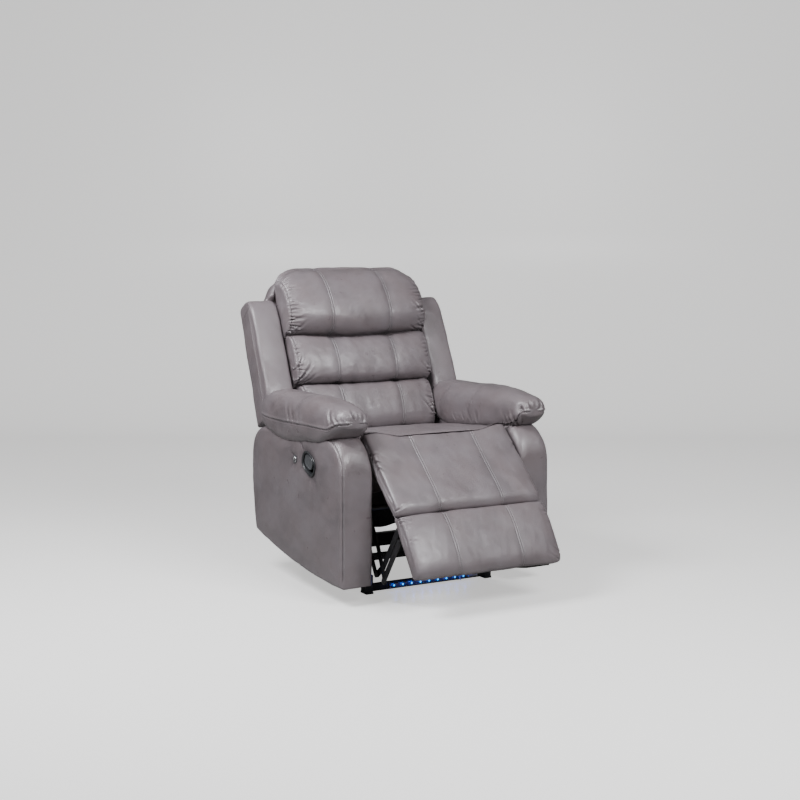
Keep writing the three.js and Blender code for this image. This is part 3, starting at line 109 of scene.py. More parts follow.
def steps_between(low, high, pitch, marks=()):
    """Even steps from low to high, with finer ones to both sides of each mark."""
    places = [np.linspace(low, high, max(2, round((high - low) / pitch) + 1))]
    for mark in marks:
        places += [mark + FINE_STEPS, mark - FINE_STEPS]
    places = np.unique(np.clip(np.concatenate(places), low, high).round(6))
    keep = [places[0]]
    exact = {round(m, 6) for m in marks}
    for place in places[1:]:
        if place - keep[-1] > LEAST_STEP:
            keep.append(place)
        elif round(place, 6) in exact:
            keep[-1] = place
    return np.array(keep)


def signed_power(value, power):
    """A power that keeps the sign: sign(v) |v|^p."""
    return np.sign(value) * np.abs(value) ** power


def smoothstep(value):
    """0 below 0, 1 above 1, and 3 v^2 - 2 v^3 between."""
    value = np.clip(value, 0, 1)
    return value * value * (3 - 2 * value)


def dip(distance, width):
    """A bell of height 1 round distance 0: exp(-(distance / width)^2)."""
    return np.exp(-((distance / width) ** 2))


def fullness(across, power):
    """How full a pillow is at a share of its half width: (1 - |a|^p)^(1/p)."""
    return np.clip(1 - np.abs(across) ** power, 0, 1) ** (1 / power)


def leaning(origin, degrees, hand):
    """A side-view frame: lengths run along a heading from the origin, depths out on one hand."""
    heading = math.radians(degrees)
    along = np.array([math.cos(heading), math.sin(heading)])
    out = np.array([-along[1], along[0]]) * hand

    def place(a, b):
        y = origin[0] + a * along[0] + b * out[0]
        z = origin[1] + a * along[1] + b * out[1]
        return y, z

    return place


def chair_points(x, y, z):
    """Points in the chair's frame from the drawing's, as one array."""
    x, y, z = np.broadcast_arrays(x, y, z)
    return np.stack([x, y + FRONT, z], -1).astype(float)


def surface_normals(rings, closed=True):
    """Unit normals of a grid of points: the cross product of its two tangents, turned so that
    most point away from the grid's middle."""
    first = np.gradient(rings, axis=0)
    if closed:
        second = np.roll(rings, -1, 1) - np.roll(rings, 1, 1)
    else:
        second = np.gradient(rings, axis=1)
    normals = np.cross(first, second)
    normals /= np.maximum(np.linalg.norm(normals, axis=-1, keepdims=True), 1e-12)
    away = (normals * (rings - rings.reshape(-1, 3).mean(0))).sum(-1).mean()
    return normals if away > 0 else -normals


def ripples(points, wavelength, seed, waves=7):
    """Smooth noise from -1 to 1: the mean of sines along seeded directions, each bent by the
    next one."""
    random = np.random.default_rng(seed)
    total = np.zeros(points.shape[:-1])
    bend = np.zeros(points.shape[:-1])
    for _ in range(waves):
        way = random.normal(size=3)
        way *= TURN / (wavelength * random.uniform(0.7, 1.5) * np.linalg.norm(way))
        bend = np.sin(points @ way + random.uniform(0, TURN) + 0.8 * bend)
        total += bend
    return total / waves * 1.6


def slack(points, *waves):
    """The slow unevenness of a stuffed cover: ripples of several sizes added up, each given by
    its height, wavelength and seed."""
    return sum(height * ripples(points, length, seed) for height, length, seed in waves)


# How far a gathered fold carries on behind its seam
TUCK_END = 0.004


def tucks(run, period, distance, pitch, reach, depth, seed, strength=None):
    """Folds that leave a gathered seam: at uneven steps along the run, each a narrow valley that
    widens and fades with distance from the seam, between two low ridges. Distance is counted
    inward, and behind the seam the folds end within a few millimetres."""
    random = np.random.default_rng(seed)
    count = max(3, round(period / pitch))
    starts = (np.arange(count) + random.uniform(-0.38, 0.38, count)) * period / count
    height = np.zeros(np.broadcast_shapes(run.shape, distance.shape))
    for start in starts:
        length = reach * random.uniform(0.45, 1.35)
        width = pitch * random.uniform(0.10, 0.2)
        cut = depth * random.uniform(0.35, 1.0)
        lean = random.uniform(-0.35, 0.35)
        if strength is not None:
            share = strength(start / period)
            cut *= share
            length *= 0.5 + 0.5 * share
        off = np.mod(run - start - lean * distance + period / 2, period) - period / 2
        share = np.clip(distance / length, 0, 1)
        fade = np.where(distance > 0, (1 - share) ** 1.5, dip(distance, TUCK_END))
        wide = width * (0.8 + 1.4 * share)
        height += cut * fade * (0.55 * dip(np.abs(off) - 2.0 * wide, 1.1 * wide) - dip(off, wide))
    return height


# Meshes


def grid_faces(rows, columns, closed):
    """Quads between neighbouring points of a grid, joined round if it is closed."""
    row = np.arange(rows - 1)[:, None]
    column = np.arange(columns if closed else columns - 1)[None, :]
    a = row * columns + column
    b = row * columns + (column + 1) % columns
    return np.stack([a, b, b + columns, a + columns], -1).reshape(-1, 4)


def volume_of(points, faces):
    """Signed volume that faces enclose, as the sum of the cones from the origin."""
    total = 0.0
    corners = points[faces]
    for k in range(1, faces.shape[1] - 1):
        total += (corners[:, 0] * np.cross(corners[:, k], corners[:, k + 1])).sum() / 6
    return total


def make_object(name, points, faces, material, wear=None, smooth=True):
    """An object at the origin, whose place is in its mesh."""
    mesh = bpy.data.meshes.new(name)
    mesh.from_pydata(np.asarray(points).tolist(), [], faces)
    if wear is not None:
        held = mesh.attributes.new("wear", "FLOAT", "POINT")
        held.data.foreach_set("value", np.asarray(wear, np.float32).ravel())
    mesh.polygons.foreach_set("use_smooth", [smooth] * len(mesh.polygons))
    mesh.materials.append(material)
    mesh.update()
    made = bpy.data.objects.new(name, mesh)
    bpy.context.scene.collection.objects.link(made)
    return made


def skin(name, rings, material, wear=None):
    """A closed skin through rings of points, with a fan at each end, its faces pointing out."""
    rows, columns = rings.shape[:2]
    points = np.vstack([rings.reshape(-1, 3), rings[0].mean(0), rings[-1].mean(0)])
    quads = grid_faces(rows, columns, True)
    here = np.arange(columns)
    there = (here + 1) % columns
    first = np.stack([np.full(columns, rows * columns), there, here], 1)
    last_row = (rows - 1) * columns
    last = np.stack([np.full(columns, rows * columns + 1), last_row + here, last_row + there], 1)
    if volume_of(points, quads) < 0:
        quads = quads[:, ::-1]
        first = first[:, ::-1]
        last = last[:, ::-1]
    if wear is not None:
        wear = np.append(wear.ravel(), [wear[0].mean(), wear[-1].mean()])
    return make_object(name, points, quads.tolist() + first.tolist() + last.tolist(), material, wear)


def sheet_skin(name, grid, thick, material):
    """An open grid with its own thickness: a front, a back behind it and a rim."""
    rows, columns = grid.shape[:2]
    normals = surface_normals(grid, closed=False)
    front = grid + normals * thick / 2
    back = grid - normals * thick / 2
    points = np.vstack([front.reshape(-1, 3), back.reshape(-1, 3)])
    faces = grid_faces(rows, columns, False)
    half = rows * columns
    edge = np.concatenate([
        np.arange(columns),
        np.arange(1, rows) * columns + columns - 1,
        (rows - 1) * columns + np.arange(columns - 2, -1, -1),
        np.arange(rows - 2, 0, -1) * columns,
    ])
    ahead = np.roll(edge, -1)
    rim = np.stack([edge, edge + half, ahead + half, ahead], 1)
    every = np.vstack([faces, faces[:, ::-1] + half, rim])
    if volume_of(points, every) < 0:
        every = every[:, ::-1]
    return make_object(name, points, every.tolist(), material)


def dressed(piece, body, slot, *nodes):
    """Gives a finished piece its body and hides the CAD nodes that it stands for. Its slot is not used."""
    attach(piece, body)
    if nodes:
        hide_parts(*nodes)
    return piece


# One stitch: at shares of its length, its thickness and its lift as shares of its radius
STITCH_PROFILE = np.array([
    [-0.5, 0.25, -0.5], [-0.38, 0.85, 0.1], [0, 1, 0.45], [0.38, 0.85, 0.1], [0.5, 0.25, -0.5],
])
STITCH_SIDES = 6
STITCH_PITCH = 0.0062
STITCH_LENGTH = 0.0044
THREAD_RADIUS = 0.0007


def stitches(name, rows, body):
    """Threads on a surface: along each row of points and normals a bead every pitch, an arched
    round bar whose two ends go down into the leather."""
    turn = np.arange(STITCH_SIDES) * TURN / STITCH_SIDES
    along, thick, lift = STITCH_PROFILE.T[:, :, None]
    template = np.stack([
        np.broadcast_to(along * STITCH_LENGTH, (len(along), STITCH_SIDES)),
        thick * np.cos(turn) * THREAD_RADIUS,
        (thick * np.sin(turn) + lift) * THREAD_RADIUS,
    ], -1).reshape(-1, 3)
    centres = []
    frames = []
    for points, normals in rows:
        run = run_along(points)
        at = np.arange(STITCH_PITCH, run[-1] - STITCH_PITCH / 2, STITCH_PITCH)

        def sample(values, where):
            return np.stack([np.interp(where, run, column) for column in values.T], 1)

        ahead = sample(points, at + STITCH_LENGTH / 3) - sample(points, at - STITCH_LENGTH / 3)
        ahead /= np.linalg.norm(ahead, axis=1, keepdims=True)
        out = sample(normals, at)
        out -= ahead * (out * ahead).sum(1, keepdims=True)
        out /= np.linalg.norm(out, axis=1, keepdims=True)
        centres.append(sample(points, at))
        frames.append(np.stack([ahead, np.cross(out, ahead), out], 1))
    centres = np.vstack(centres)
    points = centres[:, None] + np.einsum("kc,ncd->nkd", template, np.vstack(frames))
    one = grid_faces(len(STITCH_PROFILE), STITCH_SIDES, True)
    size = len(template)
    ends = np.array([np.arange(STITCH_SIDES)[::-1], np.arange(size - STITCH_SIDES, size)])
    if volume_of(template, one) < 0:
        one = one[:, ::-1]
        ends = ends[:, ::-1]
    offsets = (np.arange(len(centres)) * size)[:, None, None]
    faces = (one + offsets).reshape(-1, 4).tolist() + (ends + offsets).reshape(-1, STITCH_SIDES).tolist()
    return dressed(make_object(name, points.reshape(-1, 3), faces, thread()), body, "grey_leather")


def upholstered(name, body, node, points, height, deepest, above=None, wear=0.0):
    """A leather cover. The height of its relief is carried along the points' normals, and is also its wear
    and painted shading, from -1, painted shade in a crease of the deepest height, to 1 on a ridge, paler as
    worn leather and as a painted highlight. above gives the level that the cover stays over. Returns the
    piece and its points."""
    carved = points + surface_normals(points) * height[..., None]
    if above is not None:
        carved[..., 2] = np.maximum(carved[..., 2], above(carved))
    # The relief also paints shade into the creases and a paler, partly painted highlight onto the ridges
    piece = skin(name, carved, leather(), np.clip(height / deepest, -1, 1) + wear)
    dressed(piece, body, "grey_leather", node)
    return piece, carved


# Materials


class Finish:
    """A node material under construction."""

    def __init__(self, name, **sockets):
        self.material = bpy.data.materials.new(name)
        self.material.use_nodes = True
        self.nodes = self.material.node_tree.nodes
        self.links = self.material.node_tree.links
        self.shader = self.nodes["Principled BSDF"]
        for socket, value in sockets.items():
            self.shader.inputs[socket.replace("_", " ")].default_value = value

    def add(self, kind, settings=None, **inputs):
        node = self.nodes.new(kind)
        for key, value in (settings or {}).items():
            setattr(node, key, value)
        for key, value in inputs.items():
            self.set(node, key.replace("_", " "), value)
        return node

    def set(self, node, key, value):
        socket = node.inputs[int(key)] if key.isdigit() else node.inputs[key]
        if isinstance(value, bpy.types.NodeSocket):
            self.links.new(value, socket)
        else:
            socket.default_value = value

    def place(self, scale=(1, 1, 1), turn=(0, 0, 0)):
        """Object coordinates, stretched and turned."""
        coordinates = self.add("ShaderNodeTexCoord").outputs["Object"]
        return self.add("ShaderNodeMapping", Vector=coordinates, Scale=scale, Rotation=turn).outputs[0]

    def noise(self, where, scale, detail=3.0, roughness=0.5):
        node = self.add("ShaderNodeTexNoise", Vector=where, Scale=scale, Detail=detail, Roughness=roughness)
        return node.outputs["Fac"]

    def remap(self, value, low, high, to_low, to_high):
        node = self.add("ShaderNodeMapRange", Value=value, From_Min=low, From_Max=high,
                        To_Min=to_low, To_Max=to_high)
        return node.outputs[0]

    def blend(self, share, first, second):
        node = self.add("ShaderNodeMix", {"data_type": "RGBA"})
        for index, value in ((0, share), (6, first), (7, second)):
            self.set(node, str(index), value)
        return node.outputs[2]

    def math(self, how, first, second=0.0):
        node = self.add("ShaderNodeMath", {"operation": how})
        self.set(node, "0", first)
        self.set(node, "1", second)
        return node.outputs[0]

    def bump(self, height, strength, distance, normal=None):
        node = self.add("ShaderNodeBump", Height=height, Strength=strength, Distance=distance)
        if normal is not None:
            self.set(node, "Normal", normal)
        return node.outputs[0]

    def colour(self, value):
        self.set(self.shader, "Base Color", value)

    def rough(self, value):
        self.set(self.shader, "Roughness", value)

    def normal(self, value):
        self.set(self.shader, "Normal", value)


def rgba(colour, gain=1.0):
    return (colour[0] * gain, colour[1] * gain, colour[2] * gain, 1.0)


made_finishes = {}


def kept(make):
    """Makes a finish the first time it is asked for, and gives the same one after that."""

    def give(*settings):
        key = (make.__name__, *settings)
        if key not in made_finishes:
            made_finishes[key] = make(*settings).material
        return made_finishes[key]

    return give


@kept
def leather():
    """Grey coated leather: clouded and faintly streaked colour, paler on worn ridges that also carry a
    painted highlight, and darker in creases with painted shade, with a pebbled grain and fine pores."""
    look = bpy.context.scene.recliner_finish
    made = Finish("grey_leather", IOR=1.5, Coat_Weight=0.3, Coat_Roughness=0.3, Specular_IOR_Level=0.55)
    where = made.place()
    cloud = made.noise(where, 9.0, 4.0, 0.6)
    mottle = made.noise(where, 28.0, 5.0, 0.6)
    streak = made.noise(made.place(scale=(30, 30, 4)), 1.0, 3.0, 0.5)
    base = made.blend(made.remap(cloud, 0.35, 0.65, 0, 1), rgba(look.leather_warm), rgba(look.leather_cool))
    base = made.blend(made.remap(mottle, 0.35, 0.7, 0, 0.2), base, rgba(look.leather_pale))
    base = made.blend(made.remap(streak, 0.5, 0.8, 0, 0.16), base, rgba(look.leather_deep))
    wear = made.add("ShaderNodeAttribute", {"attribute_name": "wear"}).outputs["Fac"]
    # Paler on ridges: worn leather, and also a painted highlight where the relief stands up
    base = made.blend(made.remap(wear, 0.0, 0.9, 0, 0.22), base, rgba(look.leather_pale, 1.2))
    # Darker in creases: painted shade where the relief sinks in
    base = made.blend(made.remap(wear, 0.0, -0.9, 0, 0.6), base, rgba(look.leather_deep, 0.5))
    made.colour(base)
    made.rough(made.remap(mottle, 0.3, 0.7, look.leather_roughness - 0.05, look.leather_roughness + 0.07))
    cell = made.add("ShaderNodeTexVoronoi", {"feature": "DISTANCE_TO_EDGE"}, Vector=where, Scale=430.0)
    pebble = made.remap(cell.outputs["Distance"], 0.0, 0.18, 0.0, 1.0)
    pores = made.noise(where, 1500.0, 2.0, 0.5)
    folds = made.noise(made.place(scale=(1, 1, 0.6)), 75.0, 3.0, 0.55)
    coarse = made.bump(folds, 0.3, 0.0008)
    grain = made.bump(pebble, 0.5, look.grain_height, coarse)
    made.normal(made.bump(pores, 0.25, look.grain_height / 2, grain))
    return made


@kept
def thread():
    """Twisted sewing thread, a little paler than the leather."""
    look = bpy.context.scene.recliner_finish
    made = Finish("grey_thread", Roughness=0.7, Sheen_Weight=0.3)
    bands = {"wave_type": "BANDS", "bands_direction": "DIAGONAL"}
    wave = made.add("ShaderNodeTexWave", bands, Vector=made.place(), Scale=900.0, Distortion=1.0)
    lay = wave.outputs["Fac"]
    made.colour(made.blend(lay, rgba(look.thread, 0.7), rgba(look.thread)))
    made.normal(made.bump(lay, 0.5, 0.0003))
    return made


@kept
def cloth():
    """Dark non-woven lining: fine crossed threads, lint and a dusty sheen."""
    look = bpy.context.scene.recliner_finish
    made = Finish("dark_cloth", Roughness=0.92, Sheen_Weight=0.25, Sheen_Roughness=0.5)
    where = made.place()
    over, along = (
        made.add("ShaderNodeTexWave", {"bands_direction": way}, Vector=where, Scale=420.0, Distortion=2.0)
        for way in ("Z", "Y")
    )
    weave = made.math("MULTIPLY", over.outputs["Fac"], along.outputs["Fac"])
    dust = made.noise(where, 30.0, 5.0, 0.6)
    base = made.blend(weave, rgba(look.cloth, 0.6), rgba(look.cloth))
    made.colour(made.blend(made.remap(dust, 0.45, 0.8, 0, 0.4), base, rgba(look.cloth, 1.9)))
    made.normal(made.bump(weave, 0.5, 0.0004))
    return made


@kept
def painted_steel():
    """Black painted steel: a soft orange-peel film, dust, and bare edges where paint has worn."""
    look = bpy.context.scene.recliner_finish
    made = Finish("black_steel", Specular_IOR_Level=0.5, Coat_Weight=0.2, Coat_Roughness=0.25)
    where = made.place()
    dust = made.noise(where, 45.0, 4.0, 0.6)
    scuff = made.noise(made.place(scale=(1, 5, 1)), 160.0, 4.0, 0.7)
    base = made.blend(made.remap(dust, 0.4, 0.75, 0, 0.5), rgba(look.steel), rgba(look.steel, 2.4))
    bare = made.remap(scuff, 0.68, 0.74, 0, 0.55)
    made.colour(made.blend(bare, base, (0.22, 0.22, 0.23, 1)))
    made.set(made.shader, "Metallic", made.remap(scuff, 0.66, 0.74, 0.1, 0.8))
    made.rough(made.remap(dust, 0.3, 0.7, 0.34, 0.52))
    made.normal(made.bump(made.noise(where, 600.0, 2.0, 0.5), 0.25, 0.0003))
    return made


@kept
def moulded(name, colour, roughness):
    """Moulded plastic: fine spark texture, slight handling gloss and colour drift."""
    made = Finish(name, Specular_IOR_Level=0.5)
    where = made.place()
    drift = made.noise(where, 40.0, 3.0, 0.5)
    spark = made.noise(where, 1800.0, 3.0, 0.6)
    made.colour(made.blend(drift, rgba(colour, 0.85), rgba(colour, 1.2)))
    made.rough(made.remap(drift, 0.3, 0.7, roughness - 0.05, roughness + 0.08))
    made.normal(made.bump(spark, 0.35, 0.0002))
    return made


@kept
def bright_metal(name, colour, roughness, brushed=(1, 60, 60)):
    """Bare metal with a brushed grain and faint smudges."""
    made = Finish(name, Metallic=1.0)
    brush = made.noise(made.place(scale=brushed), 40.0, 4.0, 0.65)
    smudge = made.noise(made.place(), 55.0, 3.0, 0.5)
    made.colour(made.blend(brush, rgba(colour, 0.88), rgba(colour)))
    made.rough(made.remap(smudge, 0.3, 0.7, roughness * 0.75, roughness * 1.3))
    made.normal(made.bump(brush, 0.15, 0.0002))
    return made


@kept
def plywood():
    """Plain plywood: long grain lines and pale and dark patches."""
    made = Finish("plywood", Roughness=0.68)
    lines = made.noise(made.place(scale=(3, 60, 60)), 2.4, 6.0, 0.65)
    patches = made.noise(made.place(), 9.0, 3.0, 0.5)
    base = made.blend(made.remap(lines, 0.3, 0.7, 0, 1), (0.38, 0.24, 0.12, 1), (0.62, 0.45, 0.26, 1))
    made.colour(made.blend(made.remap(patches, 0.4, 0.7, 0, 0.4), base, (0.3, 0.19, 0.1, 1)))
    made.normal(made.bump(lines, 0.3, 0.0005))
    return made


@kept
def strip_band():
    """The strip's clear band over its copper tracks."""
    made = Finish("strip_band", Roughness=0.35, Transmission_Weight=0.0, Coat_Weight=0.5,
                  Coat_Roughness=0.15)
    tracks = made.noise(made.place(scale=(4, 1, 60)), 12.0, 3.0, 0.5)
    made.colour(made.blend(tracks, (0.10, 0.06, 0.075, 1), (0.24, 0.17, 0.19, 1)))
    made.normal(made.bump(tracks, 0.3, 0.0003))
    return made


@kept
def strip_light():
    """A lit blue lens."""
    look = bpy.context.scene.recliner_finish
    made = Finish("strip_light", Roughness=0.3, Emission_Strength=look.light_strength)
    made.colour((0.02, 0.3, 0.6, 1))
    spread = made.noise(made.place(), 300.0, 1.0, 0.5)
    made.set(made.shader, "Emission Color", made.blend(spread, rgba(look.light), rgba(look.light, 0.92)))
    return made


@kept
def pale_floor():
    """The stage's floor, pale to the camera and darker in the light that it throws back."""
    look = bpy.context.scene.recliner_stage
    made = Finish("pale_floor", Roughness=look.floor_roughness, Specular_IOR_Level=0.4,
                  Emission_Color=(1.0, 0.99, 0.98, 1.0))
    clouds = made.noise(made.place(), 1.3, 2.0, 0.5)
    pale = made.blend(clouds, rgba(look.floor_colour, 0.985), rgba(look.floor_colour))
    seen = made.add("ShaderNodeLightPath").outputs["Is Camera Ray"]
    made.colour(made.blend(seen, rgba(look.floor_colour, 0.38), pale))
    made.set(made.shader, "Emission Strength", made.math("MULTIPLY", seen, look.floor_glow))
    return made


BLACK_PLASTIC = ("black_plastic", (0.022, 0.023, 0.025), 0.36)
PADDLE_PLASTIC = ("paddle_plastic", (0.060, 0.062, 0.066), 0.34)
RIM_PLASTIC = ("rim_plastic", (0.06, 0.06, 0.065), 0.3)
WHITE_PLASTIC = ("white_plastic", (0.62, 0.60, 0.64), 0.4)
GRAINED_PLASTIC = ("grained_plastic", (0.03, 0.031, 0.034), 0.38)
BRIGHT_STEEL = ("bright_steel", (0.78, 0.78, 0.79), 0.22, (60, 60, 60))


# Chair


def closed_outline(start, length, back, depth, shares, count):
    """A smooth closed side-view outline through shares of a length and a depth, flat behind."""
    shares = np.array(shares)
    corners = np.stack([start + length * shares[:, 0], back + depth * shares[:, 1]], 1)
    loop = smooth_path(corners, count, closed=True)
    loop[:, 1] = np.maximum(loop[:, 1], back)
    return loop


CAP_SHARES = np.array([0.985, 0.955, 0.91, 0.85, 0.75, 0.6, 0.42, 0.2, 0.05])
EDGE_STEPS = np.array([
    0, 0.0004, 0.0012, 0.0025, 0.0045, 0.0065, 0.0085, 0.0105, 0.0125, 0.015, 0.018, 0.022,
])
END_BULGE = 0.004
PILLOW_PITCH = 0.0046
# Across every pillow: its channels' middles, half the gap of their two seams, and how far in
# from the ends the end seams are
PANEL_SEAM = 0.115
TWIN_SEAM = 0.004
END_SEAM = 0.012
CHANNEL_ROWS = [side * PANEL_SEAM + t for side in (-1, 1) for t in (-TWIN_SEAM, TWIN_SEAM)]


def pillow(half, loop, place, back, shape, shave=None, sag=None):
    """Rings of a pillow that lies across the chair. At each place across, its outline is scaled
    about its middle and its back by how full the pillow is there, its two upper corners are
    lowered along an ellipse, and it may sag in its middle. Each end is closed by rings that
    shrink to its centre over a slight bulge. Returns the rings and how far each is across.
    shape holds the side's shares of length and depth, the corner's width and drop, the crown
    and the power of the fullness."""
    side_length, side_depth, corner, crown, power = shape
    reach = half - END_BULGE
    edge = reach - EDGE_STEPS
    marks = CHANNEL_ROWS + [-PANEL_SEAM, PANEL_SEAM, END_SEAM - half, half - END_SEAM]
    steps = steps_between(-reach, reach, PILLOW_PITCH, marks)
    x = np.unique(np.concatenate([steps, edge, -edge]).round(6))
    across = x / reach
    full = fullness(across, power)[:, None]
    middle = (loop[:, 0].min() + loop[:, 0].max()) / 2
    upper = np.clip((loop[:, 0] - middle) / (loop[:, 0].max() - middle), 0, 1)[None] ** 1.3
    round_off = 1 - np.sqrt(1 - np.clip((np.abs(x) - reach + corner[0]) / corner[0], 0, 1) ** 2)
    along = side_length + (1 - side_length) * full
    deep = (side_depth + (1 - side_depth) * full) * (1 - crown * across[:, None] ** 2)
    a = middle + (loop[:, 0] - middle) * along - corner[1] * round_off[:, None] * upper
    if sag is not None:
        a = a + sag(a, across[:, None])
    b = back + (loop[:, 1] - back) * deep
    rings = np.stack([np.broadcast_to(x[:, None], a.shape), a, b], -1)
    caps = []
    for end in (rings[0], rings[-1]):
        centre = end.mean(0)
        cap = centre + (end - centre) * CAP_SHARES[:, None, None]
        cap[:, :, 0] = end[:, 0] + np.sign(end[0, 0]) * END_BULGE * (1 - CAP_SHARES[:, None] ** 2)
        caps.append(cap)
    rings = np.concatenate([caps[0][::-1], rings, caps[1]])
    if shave is not None:
        rings = shave(rings)
    y, z = place(rings[..., 1], rings[..., 2])
    return chair_points(rings[..., 0], y, z), rings[:, 0, 0]


def unbroken(shown):
    """The points round an outline that are shown, in order from the start of their run."""
    keep = np.flatnonzero(shown)
    split = np.flatnonzero(np.diff(keep) > 1)
    return np.roll(keep, -(split[0] + 1)) if len(split) else keep


def sewn_pillow(name, sewing, body, node, form, relief, shown):
    """A pillow's cover with its relief, and the stitches of its channels where they are shown."""
    rings, x = form
    carved = upholstered(name, body, node, rings, relief(rings, x), 0.005)[1]
    normals = surface_normals(carved)
    keep = unbroken(shown)
    nearest = [int(np.argmin(np.abs(x - place))) for place in CHANNEL_ROWS]
    stitches(sewing, [(carved[i][keep], normals[i][keep]) for i in nearest], body)


LEAN = 20.4
BACK_FOOT = (0.604, 0.501)
PILLOW_BACK = 0.0446
on_back = leaning(BACK_FOOT, 90 - LEAN, 1)
HEAD_SHARES = [
    (0.03, 0), (0, 0.41), (0.06, 0.77), (0.23, 1), (0.475, 0.98), (0.72, 0.82), (0.91, 0.57),
    (1, 0.3), (0.99, 0.05),
]
MID_SHARES = [
    (0.05, 0), (0, 0.4), (0.035, 0.69), (0.145, 0.91), (0.41, 1), (0.7, 0.955), (0.92, 0.78),
    (1, 0.54), (0.975, 0.12),
]
LOW_SHARES = [
    (0.11, 0), (0, 0.16), (0.012, 0.38), (0.068, 0.7), (0.26, 0.93), (0.58, 1), (0.864, 0.91),
    (0.985, 0.68), (1, 0.38), (0.96, 0.075),
]


def back_sag(a, across):
    """The seams between the back pillows hang lower in the middle of the chair than at its
    sides: most under the headrest, and less above and below."""
    most = np.interp(a, [-0.02, 0.11, 0.28, 0.44], [0.0, 0.010, 0.019, 0.0])
    return -most * ((1 - across**2) - 0.55)


# Each back pillow: its node, width, start up the back, length, depth and outline, the drop and
# width of its upper corners, the folds at its ends (pitch, reach, depth) and where they are
# strong round its end, from its back's lower edge round the front
PILLOWS = (
    ("headrest", 0.556, 0.284, 0.243, 0.117, HEAD_SHARES, (0.092, 0.080),
     (0.019, 0.048, 0.0100), (0.05, 0.98)),
    ("back_cushion_mid", 0.544, 0.108, 0.171, 0.095, MID_SHARES, (0.03, 0.008),
     (0.016, 0.026, 0.0052), (0.02, 0.50)),
    ("back_cushion_low", 0.516, -0.066, 0.171, 0.087, LOW_SHARES, (0.03, 0.008),
     (0.017, 0.034, 0.0052), (0.2, 0.8)),
)
# Single creases of each pillow
CREASES = {
    "headrest": (
        (0.268, 0.13, 0.215, 0.24, 0.0030, 0.0060), (0.262, 0.22, 0.205, 0.33, 0.0032, 0.0055),
        (0.250, 0.10, 0.190, 0.17, 0.0030, 0.0050), (-0.262, 0.12, -0.205, 0.22, 0.0030, 0.0055),
        (-0.264, 0.74, -0.205, 0.66, 0.0030, 0.0060), (0.262, 0.72, 0.210, 0.62, 0.0030, 0.0050),
    ),
    "back_cushion_mid": (
        (-0.262, 0.17, -0.205, 0.33, 0.0034, 0.0075), (-0.252, 0.12, -0.190, 0.25, 0.0030, 0.0060),
        (-0.264, 0.27, -0.230, 0.40, 0.0026, 0.0050), (0.262, 0.18, 0.215, 0.30, 0.0030, 0.0050),
    ),
    "back_cushion_low": (
        (0.246, 0.86, 0.185, 0.62, 0.0036, 0.0070), (0.250, 0.70, 0.200, 0.52, 0.0030, 0.0055),
        (0.248, 0.24, 0.196, 0.40, 0.0034, 0.0060), (-0.246, 0.24, -0.190, 0.38, 0.0034, 0.0060),
        (-0.246, 0.80, -0.200, 0.62, 0.0030, 0.0050),
    ),
    "leg_rest_upper": (
        (-0.266, 0.17, -0.225, 0.21, 0.0030, 0.0022), (-0.266, 0.20, -0.232, 0.25, 0.0028, 0.0026),
        (-0.266, 0.235, -0.240, 0.28, 0.0026, 0.0018), (0.266, 0.17, 0.232, 0.22, 0.0030, 0.0020),
        (-0.266, 0.50, -0.225, 0.46, 0.0030, 0.0018), (0.266, 0.50, 0.220, 0.46, 0.0030, 0.0020),
    ),
    "leg_rest_lower": (
        (-0.266, 0.035, -0.225, 0.065, 0.0030, 0.0022), (-0.266, 0.060, -0.236, 0.10, 0.0028, 0.0018),
        (0.266, 0.035, 0.236, 0.07, 0.0030, 0.0018), (0.250, 0.44, 0.200, 0.36, 0.0036, 0.0020),
        (0.262, 0.40, 0.222, 0.31, 0.0034, 0.0018),
    ),
}


def pillow_relief(half, seed, folds, span, broad, end=1.0, creases=()):
    """The cover's relief: two sewn channels of two seams each, a seam near each end with folds
    that run in from it, single creases and slow waves all over. end is how far the seams at
    the ends are cut. A crease runs from one place (across, share of the way round) to another,
    with a width and a depth."""
    pitch, reach, depth = folds

    def strength(share):
        inside = smoothstep((share - span[0]) / 0.08) * smoothstep((span[1] - share) / 0.08)
        return 0.12 + 0.88 * inside

    def relief(rings, x):
        loop = rings[len(rings) // 2]
        run = run_along(np.vstack([loop, loop[:1]]))
        period = run[-1]
        run = run[:-1][None]
        height = np.zeros(rings.shape[:2])
        for place in (-PANEL_SEAM, PANEL_SEAM):
            gap = (x - place)[:, None]
            height -= broad * dip(gap, 0.017)
            height -= 0.0013 * dip(np.abs(gap) - TWIN_SEAM, 0.0010)
            height += 0.0005 * dip(gap, 0.0022)
        for side in (-1, 1):
            inward = half - END_SEAM - side * x[:, None]
            inward = np.where(side * x[:, None] > 0, inward, 1.0)
            height += tucks(run, period, inward, pitch, reach, depth, seed + side, strength)
            height += end * (0.0010 * dip(inward + 0.005, 0.003) - 0.0024 * dip(inward, 0.0018))
        for x_from, share_from, x_to, share_to, wide, deep in creases:
            start = np.array([x_from, share_from * period])
            way = np.array([x_to, share_to * period]) - start
            long = np.linalg.norm(way)
            way /= long
            along = (x[:, None] - start[0]) * way[0] + (run - start[1]) * way[1]
            aside = (run - start[1]) * way[0] - (x[:, None] - start[0]) * way[1]
            fade = smoothstep((along + 0.008) / 0.010) * (1 - smoothstep(along / long)) * deep
            spread = wide * (0.7 + 0.9 * np.clip(along / long, 0, 1))
            height += fade * (0.6 * dip(np.abs(aside) - 2 * spread, 1.2 * spread) - dip(aside, spread))
        return height + slack(rings, (0.0016, 0.12, seed + 7), (0.0005, 0.04, seed + 8))

    return relief


